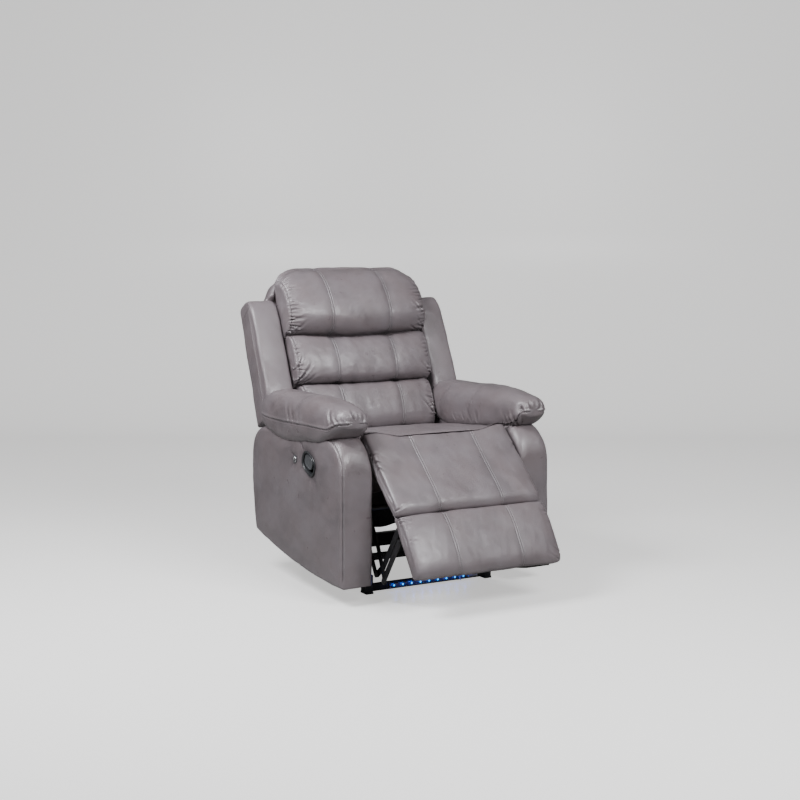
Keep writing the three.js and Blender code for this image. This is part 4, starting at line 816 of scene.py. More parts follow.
class RECLINER_OT_back_pillows(bpy.types.Operator):
    """Headrest, middle and low pillow of the back, with their sewn channels and gathered ends"""

    bl_idname = "recliner.back_pillows"
    bl_label = "Back pillows"

    def execute(self, context):
        channel = context.scene.recliner_finish.channel_depth
        for k, (name, width, start, length, depth, shares, corner, folds, span) in enumerate(PILLOWS):
            loop = closed_outline(start, length, PILLOW_BACK, depth, shares, 180)
            form = pillow(width / 2, loop, on_back, PILLOW_BACK, (0.95, 0.5, corner, 0.12, 5.0),
                          sag=back_sag)
            relief = pillow_relief(width / 2, 11 + 10 * k, folds, span, channel, creases=CREASES[name])
            shown = loop[:, 1] > PILLOW_BACK + 0.012
            sewn_pillow(f"{name}_cover", f"{name}_stitches", "back", name, form, relief, shown)
        return {"FINISHED"}


# Seat and leg rest, drawn about the line that the leg rest swings on
SWING = (0.0, 0.420)
UPPER_BACK = 0.025
UPPER_LENGTH = 0.184
LOWER_THICK = 0.040
on_upper = leaning(SWING, 180 + 42, -1)
GROOVE = on_upper(UPPER_LENGTH, 0.009)
on_lower = leaning(GROOVE, 180 + 55.4, -1)
UPPER_SHARES = [
    (0.01, 0), (0, 0.446), (0.015, 0.982), (0.186, 1), (0.359, 0.982), (0.566, 0.964),
    (0.772, 0.929), (0.91, 0.839), (0.979, 0.607), (1, 0.375), (0.979, 0.089), (0.928, 0),
]
LOWER_SHARES = [
    (0, 0.55), (0.03, 0.83), (0.12, 0.93), (0.29, 1), (0.53, 1), (0.77, 0.93), (0.91, 0.79),
    (0.985, 0.55), (1, 0.31), (0.96, 0.07), (0.89, 0), (0.04, 0), (0.005, 0.26),
]
NOSE = 0.104
NOSE_GAP = 0.0022
UPPER_CREST = 0.056
LOWER_LENGTH = 0.203
LOWER_CREST = 0.018
PANEL_HALF = 0.267
PANEL_SHAPE = (0.98, 0.46, (0.035, 0.008), 0.05, 4.4)
PANEL_FOLDS = (0.022, 0.034, 0.0020)
SEAT_START = 0.048
SEAT_LENGTH = 0.478
SEAT_HALF = 0.2728
SEAT_BOTTOM = 0.372
SEAT_DEPTH = 0.138
SEAT_SWELL = 0.007
SEAT_SHAPE = (0.98, 0.94, (0.03, 0.0), 0.05, 6.0)
SEAT_SHARES = [
    (0.046, 0), (0, 0.49), (0.008, 0.93), (0.11, 1), (0.32, 0.99), (0.63, 0.905),
    (0.88, 0.8), (0.987, 0.68), (1, 0.49), (0.987, 0.2), (0.956, 0),
]


def nose_reach(x):
    """The nose's radius about the swing line: wider towards the panel's two sides."""
    return NOSE + 0.024 * smoothstep((np.abs(x) - 0.14) / 0.11)


def clear_of_nose(rings):
    """The seat's front swells in the middle, and clears the sweep of the leg rest's nose."""
    bow = np.clip(1 - (rings[..., 0] / 0.24) ** 2, 0, 1)
    near = dip(rings[..., 1] - 0.07, 0.10) * smoothstep((rings[..., 2] - 0.44) / 0.06)
    rings[..., 2] += SEAT_SWELL * bow * near
    gap = rings[..., 1:] - np.array(SWING)
    far = np.linalg.norm(gap, axis=-1, keepdims=True)
    clear = nose_reach(rings[..., :1]) + NOSE_GAP
    rings[..., 1:] = np.array(SWING) + gap * np.maximum(1, clear / far)
    return rings


def nosed(rings):
    """Inside the swing line the upper panel fills the nose's radius and stays within it."""
    reach = nose_reach(rings[..., :1])
    rings[..., 1:] *= 1 + (reach / NOSE - 1) * smoothstep(-rings[..., 1:2] / 0.05)
    far = np.linalg.norm(rings[..., 1:], axis=-1, keepdims=True)
    inside = rings[..., 1:2] < 0
    rings[..., 1:] *= np.where(inside, np.minimum(1, (reach - 0.001) / np.maximum(far, 1e-6)), 1)
    return rings


class RECLINER_OT_seat(bpy.types.Operator):
    """Seat cushion, hollowed in front for the leg rest's nose"""

    bl_idname = "recliner.seat"
    bl_label = "Seat cushion"

    def execute(self, context):
        loop = closed_outline(SEAT_START, SEAT_LENGTH, SEAT_BOTTOM, SEAT_DEPTH, SEAT_SHARES, 260)
        flat = lambda a, b: (a, b)
        form = pillow(SEAT_HALF, loop, flat, SEAT_BOTTOM, SEAT_SHAPE, clear_of_nose)
        relief = pillow_relief(SEAT_HALF, 71, (0.03, 0.02, 0.001), (0.1, 0.9), 0.0008)
        shown = (loop[:, 1] > SEAT_BOTTOM + 0.06) & (loop[:, 0] > 0.075) & (loop[:, 0] < 0.5)
        sewn_pillow("seat_cover", "seat_stitches", "seat", "seat_cushion", form, relief, shown)
        return {"FINISHED"}


class RECLINER_OT_leg_rest(bpy.types.Operator):
    """Upper and lower panel of the leg rest, with a groove between them"""

    bl_idname = "recliner.leg_rest"
    bl_label = "Leg rest"

    def execute(self, context):
        upper = closed_outline(-NOSE, NOSE + UPPER_LENGTH - 0.002, -UPPER_BACK, UPPER_CREST,
                               UPPER_SHARES, 240)
        lower = closed_outline(0.005, LOWER_LENGTH, -LOWER_THICK, LOWER_THICK + LOWER_CREST,
                               LOWER_SHARES, 220)
        for name, node, loop, place, back, shave, seed, span in (
            ("leg_rest_upper", "bridge_pad", upper, on_upper, -UPPER_BACK, nosed, 91, (0.55, 0.9)),
            ("leg_rest_lower", "footrest_pad", lower, on_lower, -LOWER_THICK, None, 101, (0.0, 0.25)),
        ):
            form = pillow(PANEL_HALF, loop, place, back, PANEL_SHAPE, shave)
            relief = pillow_relief(PANEL_HALF, seed, PANEL_FOLDS, span, 0.0012, 0.0, CREASES[name])
            shown = loop[:, 1] > back + 0.03
            sewn_pillow(name, f"{name}_stitches", "footrest", node, form, relief, shown)
        return {"FINISHED"}


# Arms
ARM_INNER = 0.275
ARM_OUTER = 0.390
ARM_DEPTH = 0.663
ARM_TOP = 0.525
ARM_REAR_TOP = 0.497
ARM_FOOT = 0.057
ARM_REAR_FOOT = 0.137
ARM_EDGE = 0.014
ARM_TOP_EDGE = 0.042
ARM_ROUND = 0.105
ARM_REAR_ROUND = 0.088


def arm_outline(inset, drop):
    """The arm's side view at one place across it: a straight front, a bottom that climbs to the
    rear, a round rear top and a crest, as Bezier spans whose edges are let in by inset and whose
    crest is lowered by drop."""
    low = ARM_FOOT + inset
    rear_low = ARM_REAR_FOOT + inset
    rear = ARM_DEPTH - inset
    top = ARM_TOP - drop
    rear_top = ARM_REAR_TOP - inset
    crest = ARM_DEPTH * 0.65
    round_rear = ARM_DEPTH * 0.845
    bend = (crest + round_rear) / 2
    shoulder = rear_top - ARM_REAR_ROUND * 0.55
    under = ARM_REAR_ROUND
    ease = ARM_ROUND * 0.45
    return np.vstack([
        bezier((inset, low), (ARM_DEPTH / 2, low), (rear * 0.953, rear_low), count=120),
        bezier((rear * 0.953, rear_low), (rear, rear_top * 0.42), (rear, rear_top - under), count=60),
        bezier((rear, rear_top - under), (rear, shoulder), (rear - under * 0.45, rear_top),
               (round_rear, rear_top), count=30),
        bezier((round_rear, rear_top), (bend, rear_top), (bend, top), (crest, top), count=30),
        bezier((crest, top), (inset + ARM_ROUND, top), count=64),
        bezier((inset + ARM_ROUND, top), (inset + ease, top), (inset, top - ease),
               (inset, top - ARM_ROUND), count=40),
        bezier((inset, top - ARM_ROUND), (inset, low), count=80),
    ])


def rounding(radius, depth):
    """How far a round edge is let in at a depth behind its face: r - sqrt(r^2 - (r - d)^2)."""
    return radius - np.sqrt(radius**2 - np.maximum(radius - depth, 0) ** 2)


HANDLE = (0.216, 0.418)
HANDLE_TILT = math.radians(65)
HANDLE_MOUTH = (0.052, 0.078)
HANDLE_RIM = 0.016
BUTTON = (0.317, 0.419)
OVAL_POWER = 2.6
ARM_SEAM = 0.008
ARM_MIDDLE = (0, 0.330, 0.300)
FACE_STEPS = 58
FACE_SWELL = 0.0035
# Depths behind the arm's faces at which it has a ring, close together near the edge and the seam
ARM_STEPS = np.array([
    0, 0.0004, 0.0012, 0.0024, 0.004, 0.0055, 0.0066, 0.0074, 0.008, 0.0086, 0.0096, 0.011, 0.0125, 0.014,
    0.0165, 0.019, 0.022, 0.026, 0.030, 0.034, 0.038, 0.042,
])


def handle_place(u, v):
    """The handle's own upright drawing, leant back about the handle's middle."""
    cosine = math.cos(HANDLE_TILT)
    sine = math.sin(HANDLE_TILT)
    return HANDLE[0] + u * cosine + v * sine, HANDLE[1] - u * sine + v * cosine


def handle_reach(y, z):
    """How far a point of the arm's side is from the handle, as a share of its rim's oval."""
    dy = y - HANDLE[0]
    dz = z - HANDLE[1]
    u = dy * math.cos(HANDLE_TILT) - dz * math.sin(HANDLE_TILT)
    v = dy * math.sin(HANDLE_TILT) + dz * math.cos(HANDLE_TILT)
    half_u, half_v = ((size + HANDLE_RIM) / 2 for size in HANDLE_MOUTH)
    return (np.abs(u / half_u) ** OVAL_POWER + np.abs(v / half_v) ** OVAL_POWER) ** (1 / OVAL_POWER)


# Folds in the leather round the handle and the button: where each starts, its heading in
# degrees from level towards the rear, its length, width and depth
FOLDS = (
    ((0.262, 0.462), 48, 0.055, 0.010, -0.0045),
    ((0.236, 0.480), 70, 0.035, 0.008, 0.0020),
    ((0.176, 0.372), 235, 0.050, 0.012, -0.0030),
    ((0.200, 0.358), 262, 0.045, 0.011, 0.0026),
    ((0.264, 0.400), 330, 0.035, 0.009, -0.0020),
    ((0.332, 0.432), 40, 0.040, 0.009, -0.0030),
    ((0.318, 0.440), 84, 0.035, 0.008, 0.0016),
    ((0.330, 0.405), 320, 0.040, 0.010, -0.0024),
    ((0.300, 0.404), 235, 0.025, 0.008, 0.0014),
)


def face_relief(y, z):
    """The outer side panel: drawn in round the handle and the button, with folds that start at
    them and fade along their length."""
    height = -0.0032 * (1 - smoothstep((handle_reach(y, z) - 1.0) / 0.7))
    far = np.hypot(y - BUTTON[0], z - BUTTON[1])
    height -= 0.0036 * (1 - smoothstep((far - 0.010) / 0.028))
    for (fy, fz), heading, length, width, depth in FOLDS:
        way = math.radians(heading)
        dy = y - fy
        dz = z - fz
        along = dy * math.cos(way) + dz * math.sin(way)
        aside = -dy * math.sin(way) + dz * math.cos(way)
        fade = smoothstep((along + 0.012) / 0.012) * (1 - smoothstep(along / length))
        height += depth * dip(aside, width * (0.45 + 0.8 * np.clip(along / length, 0, 1))) * fade
    return height


def arm_rings(side):
    """Rings of an arm from its inner face to its outer one. Each is the side view let in by the
    rounding of the edges; the two faces are closed by rings that shrink to the middle. Also
    returns how far in from the inner face the side view's rings are, and where they start."""
    thick = ARM_OUTER - ARM_INNER
    deepest = ARM_STEPS[-1]
    flat = np.linspace(deepest, thick - deepest, 9)[1:-1]
    places = np.concatenate([ARM_STEPS, flat, thick - ARM_STEPS[::-1]])
    rings = []
    for place in places:
        deep = min(place, thick - place)
        outline = arm_outline(rounding(ARM_EDGE, deep), rounding(ARM_TOP_EDGE, deep))
        rings.append(np.column_stack([np.full(len(outline), ARM_INNER + place), outline]))
    rings = np.array(rings)
    centre = np.array(ARM_MIDDLE)
    inner = centre + (rings[0] - centre) * np.linspace(0.02, 1, 16, endpoint=False)[:, None, None]
    inner[..., 0] = ARM_INNER
    shares = np.linspace(1, 0.01, FACE_STEPS)[1:]
    outer = centre + (rings[-1] - centre) * shares[:, None, None]
    outer[..., 0] = ARM_OUTER + FACE_SWELL * smoothstep((1 - shares[:, None]) / 0.22)
    if side == RIGHT:
        outer[..., 0] += face_relief(outer[..., 1], outer[..., 2])
    return np.concatenate([inner, rings, outer]), places, len(inner)


class RECLINER_OT_arms(bpy.types.Operator):
    """The two upholstered arms: side panel, front and top panel, and the seam between them"""

    bl_idname = "recliner.arms"
    bl_label = "Arms"

    def execute(self, context):
        thick = ARM_OUTER - ARM_INNER
        for side, word in SIDES:
            drawn, places, first = arm_rings(side)
            x, y, z = np.moveaxis(drawn, -1, 0)
            rings = chair_points(side * x, y, z)
            depth = np.full(len(rings), -1.0)
            depth[first : first + len(places)] = thick - places
            on_front = smoothstep((0.30 - y) / 0.02) * smoothstep((z - (0.075 + 0.2 * y)) / 0.01)
            gap = depth[:, None] - ARM_SEAM
            height = -(0.0022 * dip(gap, 0.0012) + 0.0010 * dip(gap - 0.004, 0.0012)) * on_front
            height += 0.0008 * dip(gap + 0.003, 0.002) * on_front
            height += slack(rings, (0.0012, 0.16, 31 + side), (0.0004, 0.05, 41 + side))
            drawn_in = 0.0
            if side == RIGHT:
                on_face = ((depth < 0) & (np.arange(len(rings)) > first))[:, None]
                # On the right arm's side this relief also goes into the leather's colour: painted shade in
                # the dents and creases round the handle and the button, and a paler, partly painted
                # highlight on the raised folds
                drawn_in = np.clip(face_relief(y, z) / 0.006, -1, 0.4) * on_face
            piece, carved = upholstered(f"arm_cover_{word}", "base", f"arm_{word}", rings, height,
                                        0.003, wear=drawn_in)
            if side == RIGHT:
                open_for_handle(piece)
            row = first + int(np.argmin(np.abs(thick - places - ARM_SEAM - 0.004)))
            keep = unbroken(on_front[row] > 0.9)
            normals = surface_normals(carved)
            stitches(f"arm_stitches_{word}", [(carved[row][keep], normals[row][keep])], "base")
        return {"FINISHED"}


def oval(width, height, count):
    """A superellipse about its middle: |u / w|^p + |v / h|^p = 1."""
    turn = np.arange(count) * TURN / count
    u = width / 2 * signed_power(np.cos(turn), 2 / OVAL_POWER)
    v = height / 2 * signed_power(np.sin(turn), 2 / OVAL_POWER)
    return np.stack([u, v], 1)


def handle_ring(width, height, depth, count=112):
    """An oval of the handle at a depth behind the arm's face, in the chair's frame."""
    loop = oval(width, height, count)
    y, z = handle_place(loop[:, 0], loop[:, 1])
    return chair_points(-ARM_OUTER + depth, y, z)


def button_ring(radius, depth, count=64):
    """A circle of the button at a depth behind the arm's face."""
    turn = np.arange(count) * TURN / count
    y = BUTTON[0] + radius * np.cos(turn)
    z = BUTTON[1] + radius * np.sin(turn)
    return chair_points(-ARM_OUTER + depth, y, z)


CUT_FROM = -0.012
POCKET = (0.060, 0.086)
POCKET_DEPTH = 0.0292
WELL_RADIUS = 0.0133
WELL_DEPTH = 0.0150


def open_for_handle(piece):
    """Cuts the handle's pocket and the button's well out of the arm."""
    pocket = [handle_ring(*POCKET, depth) for depth in (CUT_FROM, POCKET_DEPTH)]
    well = [button_ring(WELL_RADIUS, depth) for depth in (CUT_FROM, WELL_DEPTH)]
    for name, rings in (("pocket_cutter", pocket), ("well_cutter", well)):
        cutter = skin(name, np.array(rings), leather())
        cut = piece.modifiers.new(name, "BOOLEAN")
        cut.operation = "DIFFERENCE"
        cut.solver = "EXACT"
        cut.object = cutter
        with bpy.context.temp_override(object=piece, active_object=piece):
            bpy.ops.object.modifier_apply(modifier=name)
        bpy.data.objects.remove(cutter)


# Arm pads
PAD_LENGTH = 0.568
PAD_WIDTH = 0.144
PAD_HEIGHT = 0.156
PAD_MIDDLE = 0.3355
PAD_LEVEL = 0.558
PAD_FRONT = 0.004
PAD_NOSE = 0.078
PAD_SEAMS = ((0.262, 0.036), (0.428, 0.046))
# Folds that rise from the nose's seam: where each starts round the nose, in degrees from
# straight ahead towards the outside, its lean, and its length, width and depth
PLEATS = {
    RIGHT: (
        (80, 10, 0.030, 0.0028, 0.0030), (72, 16, 0.046, 0.0030, 0.0050), (64, 22, 0.060, 0.0034, 0.0062),
        (56, 28, 0.076, 0.0036, 0.0095), (47, 30, 0.062, 0.0034, 0.0084), (38, 20, 0.046, 0.0030, 0.0050),
        (27, 10, 0.030, 0.0028, 0.0026), (2, 6, 0.060, 0.0034, 0.0076), (-18, -6, 0.045, 0.0034, 0.0036),
        (-44, -14, 0.055, 0.0038, 0.0044), (-66, -16, 0.070, 0.0044, 0.0050),
    ),
    LEFT: (
        (96, 8, 0.038, 0.0034, 0.0030), (62, 12, 0.045, 0.0036, 0.0034), (38, 12, 0.048, 0.0036, 0.0040),
        (14, 6, 0.052, 0.0034, 0.0056), (-10, -6, 0.050, 0.0032, 0.0050), (-30, -14, 0.066, 0.0036, 0.0074),
        (-46, -22, 0.070, 0.0038, 0.0066), (-62, -26, 0.085, 0.0046, 0.0054),
        (-78, -24, 0.090, 0.0050, 0.0040),
    ),
}


def arm_top(x, y):
    """Height of the arm's top under a pad: the side view's crest, lowered by the edge's rounding."""
    outline = arm_outline(0, 0)
    front = outline[-230:]
    upper = front[front[:, 1] > 0.415]
    upper = upper[np.argsort(upper[:, 0])]
    crest = np.interp(y, upper[:, 0], upper[:, 1])
    deep = np.clip(np.minimum(x - ARM_INNER, ARM_OUTER - x), 0, 1)
    outside = np.maximum(ARM_INNER - x, x - ARM_OUTER)
    return np.where((outside > 0) | (y < 0), -1.0, crest - rounding(ARM_TOP_EDGE, deep))


def wing_face(z):
    """How far back the wing's leaning front face is at a height."""
    lean = math.radians(LEAN)
    return BACK_FOOT[0] + (z - BACK_FOOT[1]) * math.tan(lean) - (PLATE_BACK + WING_DEPTH) / math.cos(lean)


PAD_ROUND = 2.5
PAD_ENDS = np.array([0.0006, 0.0015, 0.003, 0.005, 0.008, 0.012, 0.017, 0.023])
PAD_EDGES = np.array([0.007, 0.014, 0.024, 0.04])
PAD_RINGS = 130
PAD_OVER = 120
PAD_UNDER = 70


def pad_form():
    """Rings of a pad from its nose to the wing, in the drawing. Each is a superellipse as big as
    the pad is full there; it starts at the seam on the pad's outer side, goes over the top to
    the seam's inner side and comes back under. Also returns how far the points are above the
    seam, and the number of the ring's point at the seam's inner side."""
    steps = np.linspace(PAD_ENDS[0], 1 - PAD_ENDS[0], PAD_RINGS)
    share = np.unique(np.concatenate([steps, PAD_ENDS, 1 - PAD_ENDS]))[:, None]
    full = np.where(share < 0.5, fullness(2 * share - 1, 4.4), fullness(2 * share - 1, 7.0))
    nose = np.maximum(0, 1 - share / 0.65)
    tip = 1 - smoothstep(share / 0.13)
    middle = PAD_LEVEL - PAD_HEIGHT * 0.1 * nose**2 + 0.020 * tip - 0.007 * smoothstep((share - 0.3) / 0.4)
    under = 1 - 0.62 * nose**1.8
    # The seam runs level along the outer side, climbs round the nose and drops to the arm
    low = -0.16 * smoothstep(share / 0.12)
    inner_low = -0.72 * smoothstep(share / 0.065)
    start = np.arcsin(signed_power(low, PAD_ROUND / 2))
    end = math.pi - np.arcsin(signed_power(inner_low, PAD_ROUND / 2))
    over = np.unique(np.concatenate([np.linspace(0, 1, PAD_OVER), PAD_EDGES, 1 - PAD_EDGES]))
    below = np.unique(np.concatenate([np.linspace(0, 1, PAD_UNDER), PAD_EDGES, 1 - PAD_EDGES]))[1:-1]
    turn = np.hstack([start + (end - start) * over, end + (start + TURN - end) * below])
    outward = signed_power(np.cos(turn), 2 / PAD_ROUND)
    upward = signed_power(np.sin(turn), 2 / PAD_ROUND)
    upward = np.where(upward < 0, upward * under, upward * (1 - 0.20 * tip))
    x = PAD_MIDDLE + PAD_WIDTH / 2 * full * outward
    # Behind, the pad swells inward beside the low pillow
    x = x - 0.009 * smoothstep((share - 0.45) / 0.3) * smoothstep(-outward) * full
    z = middle + PAD_HEIGHT / 2 * full * upward
    # Both its sides hang over the arm, the outer one more along its middle
    hang = smoothstep(-upward / 0.5) * full
    hang = hang * smoothstep((share - 0.10) / 0.2) * smoothstep((0.97 - share) / 0.25)
    z = z - 0.017 * hang * smoothstep((outward - 0.35) / 0.4)
    z = z - 0.013 * hang * smoothstep((-outward - 0.35) / 0.4)
    # Its end is pressed flat against the wing, and beside the wing it reaches further
    reach = wing_face(z) - 0.0015 + 0.06 * smoothstep((x - 0.3835) / 0.006)
    y = np.minimum(PAD_FRONT + PAD_LENGTH * share, reach)
    outer_seam = middle + PAD_HEIGHT / 2 * full * low
    inner_seam = middle + PAD_HEIGHT / 2 * full * inner_low
    seam = inner_seam + (outer_seam - inner_seam) * np.clip(0.5 + 0.5 * outward, 0, 1)
    return x, y, z, z - seam, len(over) - 1


def pad_relief(side, rings, x, y, z, above, inner_edge):
    """The pad's pleats, its seam round the nose and sides, two seams over its top and its waves.
    Each pleat is a valley between two low ridges, which leans and fades on its way up."""
    nose = PAD_FRONT + PAD_NOSE
    heading = np.degrees(np.arctan2(x - PAD_MIDDLE, np.maximum(nose - y, 1e-4)))
    behind = np.maximum(y - nose, 0)
    height = np.zeros(x.shape)
    for where, lean, length, width, depth in PLEATS[side]:
        rise = np.clip(above / length, 0, 1)
        gap = np.radians(heading - where - lean * rise) * 0.072 + 0.8 * behind * np.sign(where)
        fade = smoothstep((above - 0.0005) / 0.007) * (1 - rise) ** 1.1 * (above < length)
        wide = width * (0.75 + 1.2 * rise)
        height -= depth * dip(gap, wide) * fade
        height += 0.5 * depth * dip(np.abs(gap) - 2.0 * wide, 1.1 * wide) * fade
    outer_gap = np.linalg.norm(rings - rings[:, :1], axis=-1)
    inner_gap = np.linalg.norm(rings - rings[:, inner_edge][:, None], axis=-1)
    seam_gap = np.minimum(outer_gap, inner_gap)
    upper = smoothstep(above / 0.002)
    height -= 0.0022 * dip(seam_gap, 0.0018)
    height += 0.0022 * dip(seam_gap - 0.006, 0.004) * upper
    for line, slant in PAD_SEAMS:
        drawn = y - line - slant * smoothstep((PAD_LEVEL + 0.078 - z) / 0.09)
        height -= (0.0012 * dip(drawn, 0.0011) + 0.0012 * dip(drawn, 0.010)) * upper
        height += 0.0006 * dip(np.abs(drawn) - 0.003, 0.0016) * upper
    return height + slack(rings, (0.0020, 0.13, 51 + side), (0.0006, 0.045, 61 + side))


class RECLINER_OT_arm_pads(bpy.types.Operator):
    """The pillow pads on the arms, boxed and pleated at their noses"""

    bl_idname = "recliner.arm_pads"
    bl_label = "Arm pads"

    def execute(self, context):
        x, y, z, above, inner_edge = pad_form()
        for side, word in SIDES:
            rings = chair_points(side * x, y, z)
            height = pad_relief(side, rings, x, y, z, above, inner_edge)
            on_arm = lambda points: arm_top(side * points[..., 0], points[..., 1] - FRONT) + 0.0025
            upholstered(f"arm_pad_cover_{word}", "base", f"arm_pad_{word}", rings, height, 0.005,
                        above=on_arm)
        return {"FINISHED"}


# Wings
WING_INNER = 0.280
WING_OUTER = 0.382
WING_DEPTH = 0.065
WING_SHARES = [
    (0.01, 0.5), (0.19, 1), (0.47, 0.89), (0.84, 0.74), (0.98, 0.35), (1.004, -0.05), (0.996, -0.45),
]
BACK_HEIGHT = 0.430
PLATE_BACK = 0.0223
WING_REAR = -0.036
# The wing's foot: depth and height up the back. It stays clear of the arm's rear top at every
# lean of the back, and is lowest behind, where the arm's top falls away
FOOT_LINE = (
    (-0.036, -0.0045), (-0.012, 0.0004), (0.012, 0.0), (0.036, -0.0068), (0.060, -0.0190), (0.087, -0.0250),
)
WING_EDGE = 0.012
WING_STEPS = np.array([0, 0.0005, 0.0013, 0.0024, 0.004, 0.006, 0.0085, 0.012])
WING_CROWN = 0.004
WING_TUCK = 0.412


def wing_outline():
    """The wing's side view, up the back and out from it: a level foot, a front that swells and
    then slopes back to the top, and a straight back."""
    foot_at = lambda depth: np.interp(depth, *zip(*FOOT_LINE))
    front = np.array([(BACK_HEIGHT * s, PLATE_BACK + WING_DEPTH * d) for s, d in WING_SHARES])
    toe = PLATE_BACK + WING_DEPTH * WING_SHARES[0][1]
    floor = np.linspace(WING_REAR, toe, 26, endpoint=False)
    curve = smooth_path(np.vstack([(foot_at(toe), toe), front]), 130)
    corner = (BACK_HEIGHT * 0.95, WING_REAR)
    loop = np.vstack([
        np.stack([foot_at(floor), floor], 1),
        curve[:-1],
        bezier(tuple(curve[-1]), (BACK_HEIGHT * 0.99, WING_REAR), corner, count=10),
        bezier(corner, (foot_at(WING_REAR), WING_REAR), count=70),
    ])
    loop[:, 1] = np.maximum(loop[:, 1], WING_REAR)
    return loop


def wing_rings():
    """Rings of a wing from its inner side to its outer one, each the side view let in by the
    edge's rounding, with a crowned front, and both sides closed by rings that shrink to the
    middle. Also returns which rings lie on the outer side."""
    loop = wing_outline()
    middle = (loop.min(0) + loop.max(0)) / 2
    half = (loop.max(0) - loop.min(0)) / 2
    wide = WING_OUTER - WING_INNER
    edge = WING_STEPS[-1]
    places = np.concatenate([WING_STEPS, np.linspace(edge, wide - edge, 14)[1:-1], wide - WING_STEPS[::-1]])
    rings = []
    for place in places:
        inset = rounding(WING_EDGE, min(place, wide - place))
        let_in = middle + (loop - middle) * (1 - inset / half)
        crown = WING_CROWN * (1 - (2 * place / wide - 1) ** 2)
        let_in[:, 1] += crown * smoothstep((let_in[:, 1] - PLATE_BACK) / 0.03)
        rings.append(np.column_stack([np.full(len(loop), WING_INNER + place), let_in]))
    rings = np.array(rings)
    centre = np.array([0, middle[0], middle[1] - 0.01])
    shares = np.concatenate([np.linspace(1, 0.1, 40)[1:], [0.03]])
    outer = centre + (rings[-1] - centre) * shares[:, None, None]
    outer[..., 0] = WING_OUTER + 0.0015 * smoothstep((1 - shares[:, None]) / 0.3)
    inner = centre + (rings[0] - centre) * shares[::-1][::4, None, None]
    inner[..., 0] = WING_INNER
    whole = np.concatenate([inner, rings, outer])
    return whole, (np.arange(len(whole)) >= len(inner) + len(places) - 2)[:, None]


class RECLINER_OT_wings(bpy.types.Operator):
    """The flat wings at the back's edges, with a welted seam down each side"""

    bl_idname = "recliner.wings"
    bl_label = "Wings"

    def execute(self, context):
        whole, on_side = wing_rings()
        x, up, out = np.moveaxis(whole, -1, 0)
        y, z = on_back(up, out)
        gap = out - (PLATE_BACK + WING_DEPTH * (0.46 - 0.12 * up / BACK_HEIGHT))
        below_top = smoothstep((WING_TUCK + 0.003 - up) / 0.01)
        relief = (-0.0030 * dip(gap, 0.0020) + 0.0012 * dip(gap - 0.006, 0.003)) * below_top
        relief -= 0.0050 * dip(np.hypot(up - WING_TUCK, gap), 0.007)
        fold = (up - 0.404) - 0.5 * gap
        relief -= 0.0030 * dip(fold, 0.0022) * smoothstep(-gap / 0.004)
        for side, word in SIDES:
            points = chair_points(side * x, y, z)
            height = relief * on_side + slack(points, (0.0014, 0.13, 81 + side), (0.0004, 0.05, 86 + side))
            upholstered(f"wing_cover_{word}", "back", f"wing_{word}", points, height, 0.004)
        return {"FINISHED"}


# Outside back
BACK_HALF = 0.3795
CROWN_HALF = 0.262
CROWN_BEND = 0.286
CROWN_FLAT = 0.226
CROWN_HEIGHT = 0.510
CROWN_FRONT = 0.0440
PANEL_THICK = 0.022
REAR_PAD = 0.038
PANEL_CORNER = 0.046
TONGUE_HALF = 0.267
TONGUE_TOP = 0.028
TONGUE_BOTTOM = 0.372
SLAB_TURNS = np.radians(np.array([0, 12, 25, 38, 50, 62, 74, 84, 90]))


def padded_slab(name, loop, centre, front, rear, radius, place, swell, seed):
    """A flat panel with a round rear edge: its outline, let in along the edge's round, at depths
    from the front to the rear, and both faces closed by rings that shrink to the centre. The
    rear face swells, and a seam runs round it near its edge."""
    reach = np.linalg.norm(loop - centre, axis=1, keepdims=True)
    # Above the wings the cover reaches forward over the frame's top to the headrest
    over = front + (CROWN_FRONT - front) * smoothstep((loop[:, 1] - 0.438) / 0.012)
    between = np.full(len(loop), (front + rear + radius) / 2)
    rows = [np.column_stack([loop, depth]) for depth in (over, between)]
    for angle in SLAB_TURNS:
        let_in = centre + (loop - centre) * (1 - radius * (1 - math.cos(angle)) / reach)
        rows.append(np.column_stack([let_in, np.full(len(loop), rear + radius * (1 - math.sin(angle)))]))
    rows = np.array(rows)
    middle = np.append(centre, 0)
    shares = np.concatenate([np.linspace(1, 0.06, 46)[1:], [0.01]])[:, None, None]
    faces = []
    for row, swelling in ((rows[0], 0), (rows[-1], swell)):
        flat = middle + (row - middle) * shares
        level = row[:, 2].min()
        flat[..., 2] = level + (row[:, 2] - level) * smoothstep((shares[..., 0] - 0.90) / 0.08)
        flat[..., 2] -= swelling * smoothstep((1 - shares[..., 0]) / 0.5)
        faces.append(flat)
    whole = np.concatenate([faces[0][::-1], rows, faces[1]])
    points = chair_points(whole[..., 0], *place(whole[..., 1], whole[..., 2]))
    on_rear = (np.arange(len(whole)) >= len(faces[0]) + len(rows) - 1)[:, None]
    gap = reach[:, 0][None] - np.linalg.norm(whole[..., :2] - centre, axis=-1) - radius * 1.6
    height = -0.0024 * dip(gap, 0.0026) + 0.0010 * dip(gap + 0.006, 0.004)
    height = (height + slack(points, (0.0018, 0.2, seed), (0.0005, 0.06, seed + 1))) * on_rear
    upholstered(name, "back", "back_panel", points, height, 0.004)


